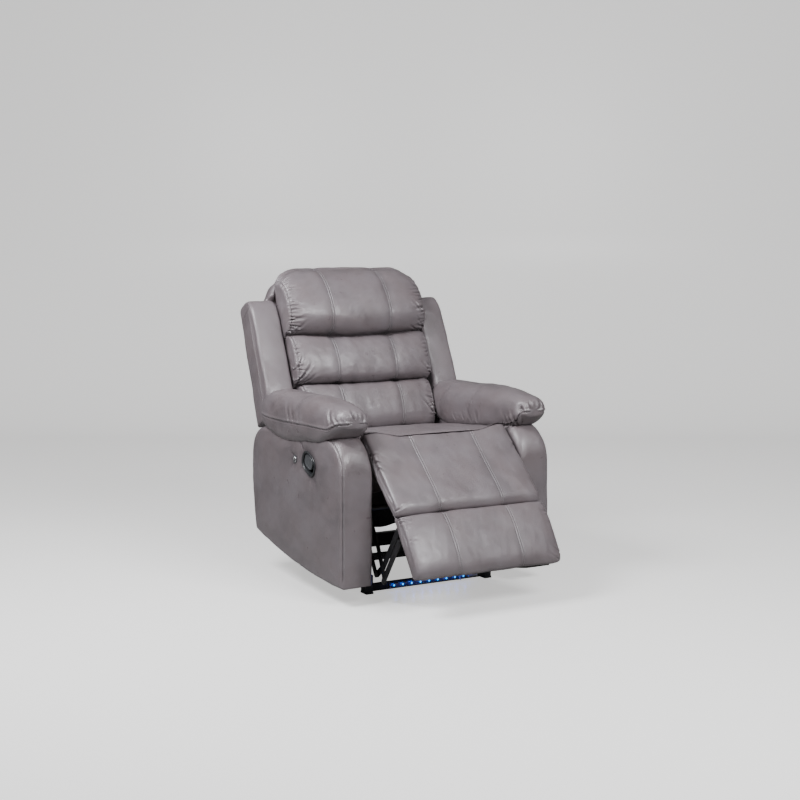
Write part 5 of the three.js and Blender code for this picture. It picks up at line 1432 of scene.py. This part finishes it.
class RECLINER_OT_outside_back(bpy.types.Operator):
    """The padded outside back, and its tongue down behind the seat"""

    bl_idname = "recliner.outside_back"
    bl_label = "Outside back"

    def execute(self, context):
        foot = 0.001
        turned = 0.012
        shoulder = BACK_HEIGHT - PANEL_CORNER
        corner = BACK_HALF - PANEL_CORNER
        half = np.vstack([
            bezier((0, foot), (BACK_HALF - turned, foot), count=60),
            bezier((BACK_HALF - turned, foot), (BACK_HALF, foot), (BACK_HALF, foot + turned), count=8),
            bezier((BACK_HALF, foot + turned), (BACK_HALF, shoulder), count=60),
            bezier((BACK_HALF, shoulder), (BACK_HALF, BACK_HEIGHT), (corner, BACK_HEIGHT), count=16),
            bezier((corner, BACK_HEIGHT), (CROWN_HALF, BACK_HEIGHT), (CROWN_BEND, CROWN_HEIGHT),
                   (CROWN_FLAT, CROWN_HEIGHT), count=40),
            bezier((CROWN_FLAT, CROWN_HEIGHT), (0, CROWN_HEIGHT), count=36),
        ])
        loop = np.vstack([half, [(0, CROWN_HEIGHT)], half[:0:-1] * (-1, 1)])
        front = PANEL_THICK - 0.0005
        padded_slab("outside_back", loop, np.array([0, 0.24]), front, -REAR_PAD, 0.014, on_back, 0.006, 93)
        low = TONGUE_BOTTOM - BACK_FOOT[1]
        corners = [
            (-TONGUE_HALF, low), (TONGUE_HALF, low), (TONGUE_HALF, TONGUE_TOP), (-TONGUE_HALF, TONGUE_TOP),
        ]
        sides = zip(corners, corners[1:] + corners[:1], (50, 16, 50, 16))
        tongue = np.vstack([bezier(start, end, count=count) for start, end, count in sides])
        upright = lambda s, d: (BACK_FOOT[0] - d, BACK_FOOT[1] + s)
        middle = np.array([0, (low + TONGUE_TOP) / 2])
        padded_slab("back_tongue", tongue, middle, PANEL_THICK - 0.001, 0.0005, 0.006, upright, 0.0, 97)
        return {"FINISHED"}


# Cloth
CLOTH_THICK = 0.0008
LINING_TOP = 0.368
LINING_HEM = 0.150
LINING_FRONT = 0.020
LINING_WIDTH = 0.160
SKIRT_TOP = 0.355
SKIRT_HEM = 0.105
SKIRT_HALF = 0.2745
SKIRT_PLACE = 0.6105


def lining_grid(side):
    """The cloth beside the leg rest: flat against the arm at its top, in upright folds below,
    with a hem that hangs lower in front and waves."""
    drop = np.linspace(0, 1, 60)[:, None]
    along = np.linspace(0, 1, 50)[None]
    hem = LINING_HEM + 0.03 * (1 - smoothstep(along / 0.35)) + 0.012 * np.sin(along * 9)
    fold = 0.5 + 0.5 * np.sin(TURN * 4.2 * along + 2.0 * np.sin(3 * along + 2 * drop))
    x = ARM_INNER - CLOTH_THICK - 0.0058 * fold * smoothstep((drop - 0.14) / 0.5)
    z = LINING_TOP + (hem - LINING_TOP) * drop
    return chair_points(side * x, LINING_FRONT + LINING_WIDTH * along, z)


def leg_rest_grid():
    """The cloth stretched behind the lower panel: it sags away in its middle, and its last
    stretch runs on a little further on one side."""
    across = np.linspace(-0.236, 0.232, 110)[None]
    down = np.linspace(0, 1, 60)[:, None]
    slope = np.sin(math.pi * down)
    a = 0.030 + 0.166 * down + 0.010 * smoothstep((across - 0.06) / 0.10) * down**3
    b = -LOWER_THICK - 0.0015 - 0.0032 * slope * (1 - (across / 0.24) ** 2)
    b = b - 0.0014 * np.sin(across * 55 + 3 * down) * slope - 0.002 * down**3
    return chair_points(across + 0 * down, *on_lower(a, b))


def skirt_grid():
    """The cloth behind the seat: upright folds that fade to its top and hem, and a wavy hem."""
    across = np.linspace(-1, 1, 150)[None]
    drop = np.linspace(0, 1, 60)[:, None]
    folds = np.sin(TURN * (3.5 * across + 0.4 * np.sin(5 * across)))
    swing = smoothstep(drop * 1.4) * np.sin(np.pi * np.clip(drop, 0.02, 0.9))
    z = SKIRT_TOP + (SKIRT_HEM - SKIRT_TOP) * drop + 0.006 * np.cos(3 * np.pi * across) * drop
    return chair_points(SKIRT_HALF * across + 0 * drop, SKIRT_PLACE + 0.0035 * folds * swing, z)


class RECLINER_OT_cloth(bpy.types.Operator):
    """Dark cloth beside the leg rest, behind the seat and under the leg rest"""

    bl_idname = "recliner.cloth"
    bl_label = "Dark cloth"

    def execute(self, context):
        for side, word in SIDES:
            lining = sheet_skin(f"lining_cloth_{word}", lining_grid(side), CLOTH_THICK, cloth())
            dressed(lining, "base", "dark_cloth", f"lining_{word}")
        under = sheet_skin("leg_rest_cloth", leg_rest_grid(), CLOTH_THICK, cloth())
        dressed(under, "footrest", "dark_cloth")
        skirt = sheet_skin("rear_skirt_cloth", skirt_grid(), 0.0009, cloth())
        dressed(skirt, "base", "dark_cloth", "rear_skirt")
        return {"FINISHED"}


# Handle and button
CUP_PROFILE = (
    # share of the way from the mouth to the rim's outer edge, depth
    (1.0, -0.0003), (1.0, -0.0018), (0.93, -0.0033), (0.80, -0.0040), (0.62, -0.0041), (0.50, -0.0036),
    (0.44, -0.0026), (0.38, -0.0024), (0.30, -0.0031), (0.16, -0.0032), (0.05, -0.0024), (0.0, -0.0006),
)
CUP_WALL_DEPTHS = (0.004, 0.012, 0.020, 0.0235)
CUP_FLOOR = (
    # share of the mouth, depth
    (0.97, 0.0247), (0.9, 0.025), (0.5, 0.025), (0.1, 0.025),
)
CUP_BACK = (
    # width, height, depth
    (0.005, 0.008, 0.028), (0.040, 0.066, 0.028), (0.056, 0.082, 0.028), (0.058, 0.084, 0.0265),
    (0.058, 0.084, 0.001), (0.0582, 0.0842, -0.0003),
)
PADDLE = (0.0415, 0.0560)
PADDLE_SHIFT = (-0.0006, 0.0080)
PADDLE_FACE = 0.004
PADDLE_PROFILE = (
    # share of the paddle's oval, depth
    (0.05, 0.0076), (0.60, 0.0076), (0.94, 0.0076), (1.0, 0.0068), (1.0, 0.0030), (0.985, 0.0016),
    (0.95, 0.0009), (0.90, 0.0006), (0.84, 0.0008),
)
RIM_PROFILE = (
    # radius, depth
    (0.002, 0.012), (0.0102, 0.012), (0.0104, 0.0115), (0.0104, 0.0), (0.0105, -0.0012), (0.0110, -0.0017),
    (0.0122, -0.0017), (0.0133, -0.0012), (0.0139, -0.0003), (0.0124, -0.0003), (0.0124, 0.0138),
    (0.0120, 0.0140), (0.002, 0.0140),
)
KNOB_PROFILE = (
    # radius, depth
    (0.001, -0.0015), (0.004, -0.0017), (0.0070, -0.0022), (0.0082, -0.0029), (0.0090, -0.0030),
    (0.0096, -0.0027), (0.0100, -0.0018), (0.0100, 0.0056), (0.0097, 0.0060), (0.001, 0.0060),
)


def cup_rings():
    """The cup: from its back's middle round its outside, over the rim and down into the mouth."""
    wide, high = HANDLE_MOUTH
    rings = [handle_ring(width, height, depth) for width, height, depth in CUP_BACK]
    for share, depth in CUP_PROFILE:
        rings.append(handle_ring(wide + HANDLE_RIM * share, high + HANDLE_RIM * share, depth))
    for depth in CUP_WALL_DEPTHS:
        rings.append(handle_ring(wide - 0.02 * depth, high - 0.02 * depth, depth))
    for share, depth in CUP_FLOOR:
        rings.append(handle_ring((wide - 0.0005) * share, (high - 0.0005) * share, depth))
    return np.array(rings)


def paddle_rings():
    """The paddle: an oval plate set back towards the cup's rear, dished a little, with three
    steps for the fingers across its rear half."""
    profile = list(PADDLE_PROFILE) + [(s, 0.0022 - 0.0014 * s**2) for s in np.linspace(0.8, 0.03, 34)]
    rings = []
    for share, depth in profile:
        u, v = oval(PADDLE[0] * share, PADDLE[1] * share, 112).T
        on_face = depth < PADDLE_FACE
        on_steps = smoothstep((v - 0.001) / 0.003) * smoothstep((0.86 - share) / 0.06) * on_face
        step = np.mod(v / 0.0085, 1.0)
        sink = 0.0021 * on_steps * (smoothstep(step / 0.35) - step)
        hollow = 0.0018 * smoothstep((-v - 0.002) / 0.006) * smoothstep((0.84 - share) / 0.10) * on_face
        y, z = handle_place(u + PADDLE_SHIFT[0], v + PADDLE_SHIFT[1])
        rings.append(chair_points(-ARM_OUTER + depth + sink + hollow, y, z))
    return np.array(rings)


def button_rings(profile):
    """A round turned shape about the button's middle."""
    return np.array([button_ring(radius, depth) for radius, depth in profile])


class RECLINER_OT_handle(bpy.types.Operator):
    """The pull handle's cup and paddle, and the round button behind it"""

    bl_idname = "recliner.handle"
    bl_label = "Handle and button"

    def execute(self, context):
        for name, rings, finish, body, slot, node in (
            ("handle_cup", cup_rings(), moulded(*BLACK_PLASTIC), "base", "black_plastic", "handle_bezel"),
            ("handle_paddle", paddle_rings(), moulded(*PADDLE_PLASTIC), "lever", "black_plastic",
             "lever_paddle"),
            ("button_rim", button_rings(RIM_PROFILE), moulded(*RIM_PLASTIC), "base", "black_plastic",
             "button_bezel"),
            ("button_knob", button_rings(KNOB_PROFILE), bright_metal(*BRIGHT_STEEL), "button",
             "bright_steel", "led_button"),
        ):
            dressed(skin(name, rings, finish), body, slot, node)
        return {"FINISHED"}


# Light strip
STRIP_LOW, STRIP_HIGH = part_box("led_strip")
STRIP_LEVEL = (STRIP_LOW.z + STRIP_HIGH.z) / 2
STRIP_HALF = (STRIP_HIGH.z - STRIP_LOW.z) / 2
LIGHT_COUNT = 9
LIGHT_PITCH = 0.033
LIGHT_OFFSET = -0.005
LIGHT_PLACES = LIGHT_OFFSET + (np.arange(LIGHT_COUNT) - (LIGHT_COUNT - 1) / 2) * LIGHT_PITCH
LIGHT_RADIUS = 0.0034
LIGHT_SIDES = 28
DOME_PROFILE = np.array([
    # share of the light's radius, height
    (1.0, 0.0), (0.98, 0.0006), (0.86, 0.0011), (0.55, 0.00145), (0.2, 0.0016),
])
DOME_FOOT = 0.0014
DOME_TIP = 0.0031
BAND_SECTION = (
    # depth in front of the channel, share of the half height
    (0.0, -1), (0.0, 1), (0.0011, 1), (0.0016, 0.82), (0.0018, 0.3), (0.0018, -0.3), (0.0016, -0.82),
    (0.0011, -1),
)
END_SECTION = ((0.0, -1), (0.0, 1), (0.0020, 1), (0.0026, 0.7), (0.0026, -0.7), (0.0020, -1))
END_START = 0.017
END_STEPS = ((0.0, 0.6), (0.0006, 0.9), (0.002, 1))
TIE_CORNERS = (
    (-0.5, -0.3), (-0.4, -0.5), (0.4, -0.5), (0.5, -0.3), (0.5, 0.3), (0.4, 0.5), (-0.4, 0.5), (-0.5, 0.3),
)


def spread(x, y, z):
    """Points as one array, from places that are already in the frame."""
    return np.stack(np.broadcast_arrays(x, y, z), -1).astype(float)


def strap(name, way, middle, width, thick, material, closed):
    """A flat strap: a rounded bar's section carried along a path that lies across the chair's
    width, closed on itself or with two ends."""
    ahead = np.roll(way, -1, 0) - np.roll(way, 1, 0) if closed else np.gradient(way, axis=0)
    ahead /= np.linalg.norm(ahead, axis=1, keepdims=True)
    out = np.stack([-ahead[:, 1], ahead[:, 0]], 1)
    across, lift = np.array(TIE_CORNERS).T
    line = way[:, None] + out[:, None] * (thick * lift)[:, None]
    x = np.broadcast_to(middle + width * across, line.shape[:2])
    rings = np.concatenate([x[..., None], line], -1)
    if not closed:
        return skin(name, rings, material)
    faces = grid_faces(len(way) + 1, len(across), True) % (len(way) * len(across))
    points = rings.reshape(-1, 3)
    if volume_of(points, faces) < 0:
        faces = faces[:, ::-1]
    return make_object(name, points, faces.tolist(), material)


def light_mesh():
    """All the lights: each is a stack of circles that close over a low dome, with a fan at its
    tip and a flat base."""
    turn = np.arange(LIGHT_SIDES) * TURN / LIGHT_SIDES
    share, out = DOME_PROFILE.T[:, :, None]
    circles = np.stack([
        LIGHT_RADIUS * share * np.cos(turn),
        np.broadcast_to(STRIP_HIGH.y - DOME_FOOT - out, (len(share), LIGHT_SIDES)),
        STRIP_LEVEL + LIGHT_RADIUS * share * np.sin(turn),
    ], -1).reshape(-1, 3)
    one = np.vstack([circles, (0, STRIP_HIGH.y - DOME_TIP, STRIP_LEVEL)])
    points = one + LIGHT_PLACES[:, None, None] * np.array([1, 0, 0])
    sides = grid_faces(len(share), LIGHT_SIDES, True)
    here = np.arange(LIGHT_SIDES)
    last = len(circles) - LIGHT_SIDES
    fan = np.stack([last + here, last + (here + 1) % LIGHT_SIDES, np.full(LIGHT_SIDES, len(circles))], 1)
    faces = []
    for start in range(0, points.shape[0] * len(one), len(one)):
        faces += (sides + start).tolist() + (fan + start).tolist() + [(here[::-1] + start).tolist()]
    return points.reshape(-1, 3), faces


def end_rings():
    """The white end of the strip: its section grows over the first steps and shrinks again."""
    first = LIGHT_PLACES[-1] + END_START
    steps = [(first + at, size) for at, size in END_STEPS]
    steps += [(STRIP_HIGH.x - at, size) for at, size in reversed(END_STEPS)]
    depth, height = np.array(END_SECTION).T
    return np.array([
        spread(at, STRIP_HIGH.y - 0.0001 - depth * size - 0.0012 * (depth > 0),
               STRIP_LEVEL + height * STRIP_HALF * (0.85 + 0.15 * size))
        for at, size in steps
    ])


class RECLINER_OT_light_strip(bpy.types.Operator):
    """The strip of blue lights on the front tube, its end cap and its tie"""

    bl_idname = "recliner.light_strip"
    bl_label = "Light strip"

    def execute(self, context):
        depth, height = np.array(BAND_SECTION).T
        x = np.linspace(STRIP_LOW.x, STRIP_HIGH.x, 130)[:, None]
        rings = spread(x, STRIP_HIGH.y - depth, STRIP_LEVEL + height * STRIP_HALF)
        dressed(skin("strip_band", rings, strip_band()), "base", "light_strip", "led_strip")
        dressed(make_object("strip_lights", *light_mesh(), strip_light()), "base", "light_strip")
        white = moulded(*WHITE_PLASTIC)
        dressed(skin("strip_end", end_rings(), white), "base", "light_strip")

        low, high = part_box("front_tube")
        back = STRIP_HIGH.y
        level = STRIP_LEVEL
        edge = STRIP_HALF + 0.002
        at = LIGHT_PLACES[-1] - LIGHT_PITCH / 2
        round_tube = [
            (high.y + 0.001, low.z - 0.0008), (high.y + 0.001, high.z + 0.001),
            (back + 0.004, high.z + 0.001),
            (back - 0.0034, level + edge), (back - 0.0040, level), (back - 0.0034, level - edge),
            (back + 0.004, low.z - 0.0008),
        ]
        tail = [
            (back - 0.0045, level - 0.003), (back - 0.0062, level - 0.007), (back - 0.0105, level - 0.010),
        ]
        head = [(back - 0.0046, level + 0.0025), (back - 0.0048, level - 0.0030)]
        for name, corners, count, place, width, thick, closed in (
            ("tie_band", round_tube, 90, at, 0.0042, 0.0011, True),
            ("tie_tail", tail, 16, at + 0.001, 0.0034, 0.0010, False),
            ("tie_head", head, 5, at, 0.0058, 0.0040, False),
        ):
            way = smooth_path(corners, count, closed=closed)
            dressed(strap(name, way, place, width, thick, white, closed), "base", "light_strip")
        return {"FINISHED"}


# Which finish each CAD node that shows as it was modelled takes, by how its name starts
NODE_FINISH = {
    "steel": (
        "front_link", "rear_link", "upper_link", "lower_link", "footrest_bracket", "torque_tube",
        "seat_plate", "release_latch", "seat_rail", "slide_rail", "side_rail", "front_tube", "mid_tube",
        "rear_tube", "back_bracket",
    ),
    "plywood": ("bridge_board", "footrest_board", "back_frame", "back_rail"),
    "plastic": (
        "lever_paddle", "release_cable", "foot_front", "foot_rear", "led_driver", "handle_bezel",
        "button_bezel",
    ),
    "spring": ("seat_springs",),
    "aluminium": ("led_channel",),
    "bright": ("led_button",),
    "cloth": ("lining", "rear_skirt"),
    "strip": ("led_strip",),
    "leather": (
        "arm_right", "arm_left", "arm_pad", "wing", "back_panel", "headrest", "back_cushion", "seat_cushion",
        "bridge_pad", "footrest_pad",
    ),
}


class RECLINER_OT_frame_finishes(bpy.types.Operator):
    """Finishes for the steel, wood and plastic pieces that show as they were modelled"""

    bl_idname = "recliner.frame_finishes"
    bl_label = "Frame finishes"

    def execute(self, context):
        made = {
            "steel": painted_steel(),
            "plywood": plywood(),
            "plastic": moulded(*GRAINED_PLASTIC),
            "spring": bright_metal("spring_steel", (0.30, 0.31, 0.33), 0.38),
            "aluminium": bright_metal("aluminium", (0.55, 0.57, 0.60), 0.35),
            "bright": bright_metal(*BRIGHT_STEEL),
            "cloth": cloth(),
            "strip": moulded(*WHITE_PLASTIC),
            "leather": leather(),
        }
        for name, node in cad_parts.items():
            for key, heads in NODE_FINISH.items():
                if name.startswith(heads):
                    for slot in node.material_slots:
                        slot.material = made[key]
        return {"FINISHED"}


# Stage
CAMERA_PLACE = (-2.4094, FRONT - 3.8799, 1.126)
CAMERA_YAW = math.radians(29.88)
CAMERA_DIP = math.radians(2.16)
CAMERA_LENS = 64.8
CAMERA_SHIFT = -0.1309
SWEEP_FAR = 3.4
SWEEP_BEND = 1.2
SWEEP_REACH = 14.0
SWEEP_TOP = 7.0
LAMPS = (
    # name, place, aim, size, its power's setting, tint
    ("key_softbox", (0.30, -2.85, 2.38), (0, 0, 0.6), (1.5, 1.0), "key_power", (0.97, 0.985, 1.0)),
    ("window_softbox", (-1.75, -0.2, 2.35), (-0.3, 0.05, 0.6), (1.2, 0.9), "window_power",
     (0.96, 0.97, 1.0)),
    ("top_softbox", (0.2, -0.4, 3.6), (0, 0, 0.4), (2.6, 2.6), "top_power", (1.0, 1.0, 1.0)),
)
GLOW_PLACE = (FRONT + 0.1015, 0.019)


def add_camera(scene):
    eye = bpy.data.cameras.new("camera")
    eye.lens = CAMERA_LENS
    eye.sensor_width = 36.0
    eye.sensor_fit = "HORIZONTAL"
    eye.shift_y = CAMERA_SHIFT
    eye.clip_end = 100
    camera = bpy.data.objects.new("camera", eye)
    camera.location = CAMERA_PLACE
    camera.rotation_euler = (math.pi / 2 - CAMERA_DIP, 0, -CAMERA_YAW)
    scene.collection.objects.link(camera)
    scene.camera = camera


def add_sweep():
    """The floor, square to the camera, which turns up into the backdrop on a quarter circle."""
    ahead = np.array([math.sin(CAMERA_YAW), math.cos(CAMERA_YAW), 0])
    aside = np.array([math.cos(CAMERA_YAW), -math.sin(CAMERA_YAW), 0])
    up = np.array([0, 0, 1])
    turn = np.linspace(0, math.pi / 2, 24)
    far = SWEEP_FAR + SWEEP_BEND * np.sin(turn)
    profile = np.vstack([
        [(-SWEEP_REACH, 0.0), (-6.0, 0.0), (0.0, 0.0), (SWEEP_FAR, 0.0)],
        np.stack([far, SWEEP_BEND - SWEEP_BEND * np.cos(turn)], 1)[1:],
        [(SWEEP_FAR + SWEEP_BEND, SWEEP_TOP)],
    ])
    wide = np.linspace(-SWEEP_REACH, SWEEP_REACH, 15)[None, :, None]
    grid = profile[:, :1, None] * ahead + profile[:, 1:, None] * up + wide * aside
    faces = grid_faces(len(profile), wide.size, False)
    make_object("pale_sweep", grid.reshape(-1, 3), faces[:, ::-1].tolist(), pale_floor())


def add_world(scene, look):
    """The world: pale to the camera beyond the sweep, and dim in the light that it gives."""
    world = bpy.data.worlds.new("studio")
    world.use_nodes = True
    nodes = world.node_tree.nodes
    background = nodes["Background"]
    background.inputs["Color"].default_value = (0.96, 0.97, 1.0, 1)
    path = nodes.new("ShaderNodeLightPath")
    strength = nodes.new("ShaderNodeMath")
    strength.operation = "MULTIPLY_ADD"
    strength.inputs[1].default_value = look.world_glow
    strength.inputs[2].default_value = look.ambient
    world.node_tree.links.new(path.outputs["Is Camera Ray"], strength.inputs[0])
    world.node_tree.links.new(strength.outputs[0], background.inputs["Strength"])
    scene.world = world


def add_lamp(scene, name, kind, power, tint, place):
    lamp = bpy.data.lights.new(name, kind)
    lamp.energy = power
    lamp.color = tint
    holder = bpy.data.objects.new(name, lamp)
    holder.location = place
    scene.collection.objects.link(holder)
    return holder


class RECLINER_OT_stage(bpy.types.Operator):
    """Camera, lamps, pale floor and backdrop"""

    bl_idname = "recliner.stage"
    bl_label = "Stage"

    def execute(self, context):
        scene = context.scene
        look = scene.recliner_stage
        add_camera(scene)
        add_sweep()
        add_world(scene, look)
        for name, place, aim, size, power, tint in LAMPS:
            lamp = add_lamp(scene, name, "AREA", getattr(look, power), tint, place)
            lamp.data.shape = "RECTANGLE"
            lamp.data.size, lamp.data.size_y = size
            lamp.rotation_euler = (Vector(aim) - Vector(place)).to_track_quat("-Z", "Y").to_euler()
        for k, x in enumerate(LIGHT_PLACES):
            lamp = add_lamp(scene, f"strip_glow_{k}", "POINT", look.glow_power, (0.0, 0.10, 1.0),
                            (x, *GLOW_PLACE))
            lamp.data.shadow_soft_size = 0.004
        return {"FINISHED"}


# Settings
def tone(name, description, default):
    return FloatVectorProperty(name=name, description=description, default=default, size=3, min=0, max=1,
                               subtype="COLOR")


def amount(name, description, default, **more):
    return FloatProperty(name=name, description=description, default=default, **{"min": 0, **more})


class RECLINER_PG_finish(bpy.types.PropertyGroup):
    """Colours and finishes of the chair"""

    leather_warm: tone("Leather, warm", "The leather's brownish grey", (0.143, 0.116, 0.121))
    leather_cool: tone("Leather, cool", "The leather's cool grey", (0.151, 0.129, 0.138))
    # Leather, pale: the mottling, and a little brighter the worn ridges, which also carry a painted
    # highlight
    leather_pale: tone("Leather, pale", "The leather where it is worn", (0.186, 0.170, 0.181))
    # Leather, deep: the darker streaks, and at half strength the painted shade in creases
    leather_deep: tone("Leather, deep", "The leather in its creases", (0.080, 0.068, 0.073))
    leather_roughness: amount("Leather roughness", "How dull the leather is", 0.32, min=0.1, max=0.9,
                              subtype="FACTOR")
    grain_height: amount("Grain height", "Height of the leather's pebbles", 0.0004, max=0.002,
                         unit="LENGTH", precision=5)
    channel_depth: amount("Channel depth", "How far a sewn channel draws the cover in", 0.0024, max=0.02,
                          unit="LENGTH", precision=4)
    thread: tone("Thread", "Colour of the sewing thread", (0.26, 0.25, 0.26))
    cloth: tone("Cloth", "Colour of the dark cloth", (0.075, 0.066, 0.064))
    steel: tone("Steel paint", "Colour of the painted steel", (0.012, 0.012, 0.013))
    light: tone("Light", "Colour of the lights", (0.0, 0.42, 1.0))
    light_strength: amount("Light strength", "Brightness of the lights", 2.4, max=50)


class RECLINER_PG_stage(bpy.types.PropertyGroup):
    """Floor and lamps"""

    floor_colour: tone("Floor", "Colour of the floor and backdrop", (0.72, 0.715, 0.70))
    floor_roughness: amount("Floor roughness", "How dull the floor is", 0.32, max=1, subtype="FACTOR")
    floor_glow: amount("Floor glow", "How far the floor is lifted to the camera's eye", 0.70, max=1)
    world_glow: amount("World glow", "How far the world is lifted to the camera's eye", 0.43, max=1)
    ambient: amount("Ambient", "Strength of the light from all round", 0.17)
    key_power: amount("Key", "Power of the front lamp", 120, unit="POWER")
    window_power: amount("Window", "Power of the lamp on the left", 106, unit="POWER")
    top_power: amount("Top", "Power of the lamp over the chair", 10, unit="POWER")
    glow_power: amount("Glow", "Power of each strip light's glow", 0.006, unit="POWER")


STEPS = (
    RECLINER_OT_stage,
    RECLINER_OT_frame_finishes,
    RECLINER_OT_arms,
    RECLINER_OT_arm_pads,
    RECLINER_OT_wings,
    RECLINER_OT_outside_back,
    RECLINER_OT_back_pillows,
    RECLINER_OT_seat,
    RECLINER_OT_leg_rest,
    RECLINER_OT_cloth,
    RECLINER_OT_handle,
    RECLINER_OT_light_strip,
)


class RECLINER_PT_panel(bpy.types.Panel):
    """Sidebar panel with the chair's finishes and pieces"""

    bl_idname = "RECLINER_PT_panel"
    bl_label = "Recliner"
    bl_space_type = "VIEW_3D"
    bl_region_type = "UI"
    bl_category = "Recliner"

    def draw(self, context):
        for group in (context.scene.recliner_finish, context.scene.recliner_stage):
            box = self.layout.box()
            for key in group.__annotations__:
                box.prop(group, key)
        for step in STEPS:
            self.layout.operator(step.bl_idname)


GROUPS = (RECLINER_PG_finish, RECLINER_PG_stage)


def register():
    for kind in GROUPS + STEPS + (RECLINER_PT_panel,):
        bpy.utils.register_class(kind)
    bpy.types.Scene.recliner_finish = PointerProperty(type=RECLINER_PG_finish)
    bpy.types.Scene.recliner_stage = PointerProperty(type=RECLINER_PG_stage)


def unregister():
    del bpy.types.Scene.recliner_finish
    del bpy.types.Scene.recliner_stage
    for kind in reversed(GROUPS + STEPS + (RECLINER_PT_panel,)):
        bpy.utils.unregister_class(kind)


def main():
    """Makes every piece in order and keeps the CAD box and the dressed one."""
    register()
    for step in STEPS:
        getattr(bpy.ops.recliner, step.bl_idname.split(".")[1])()


if __name__ == "__main__":
    main()
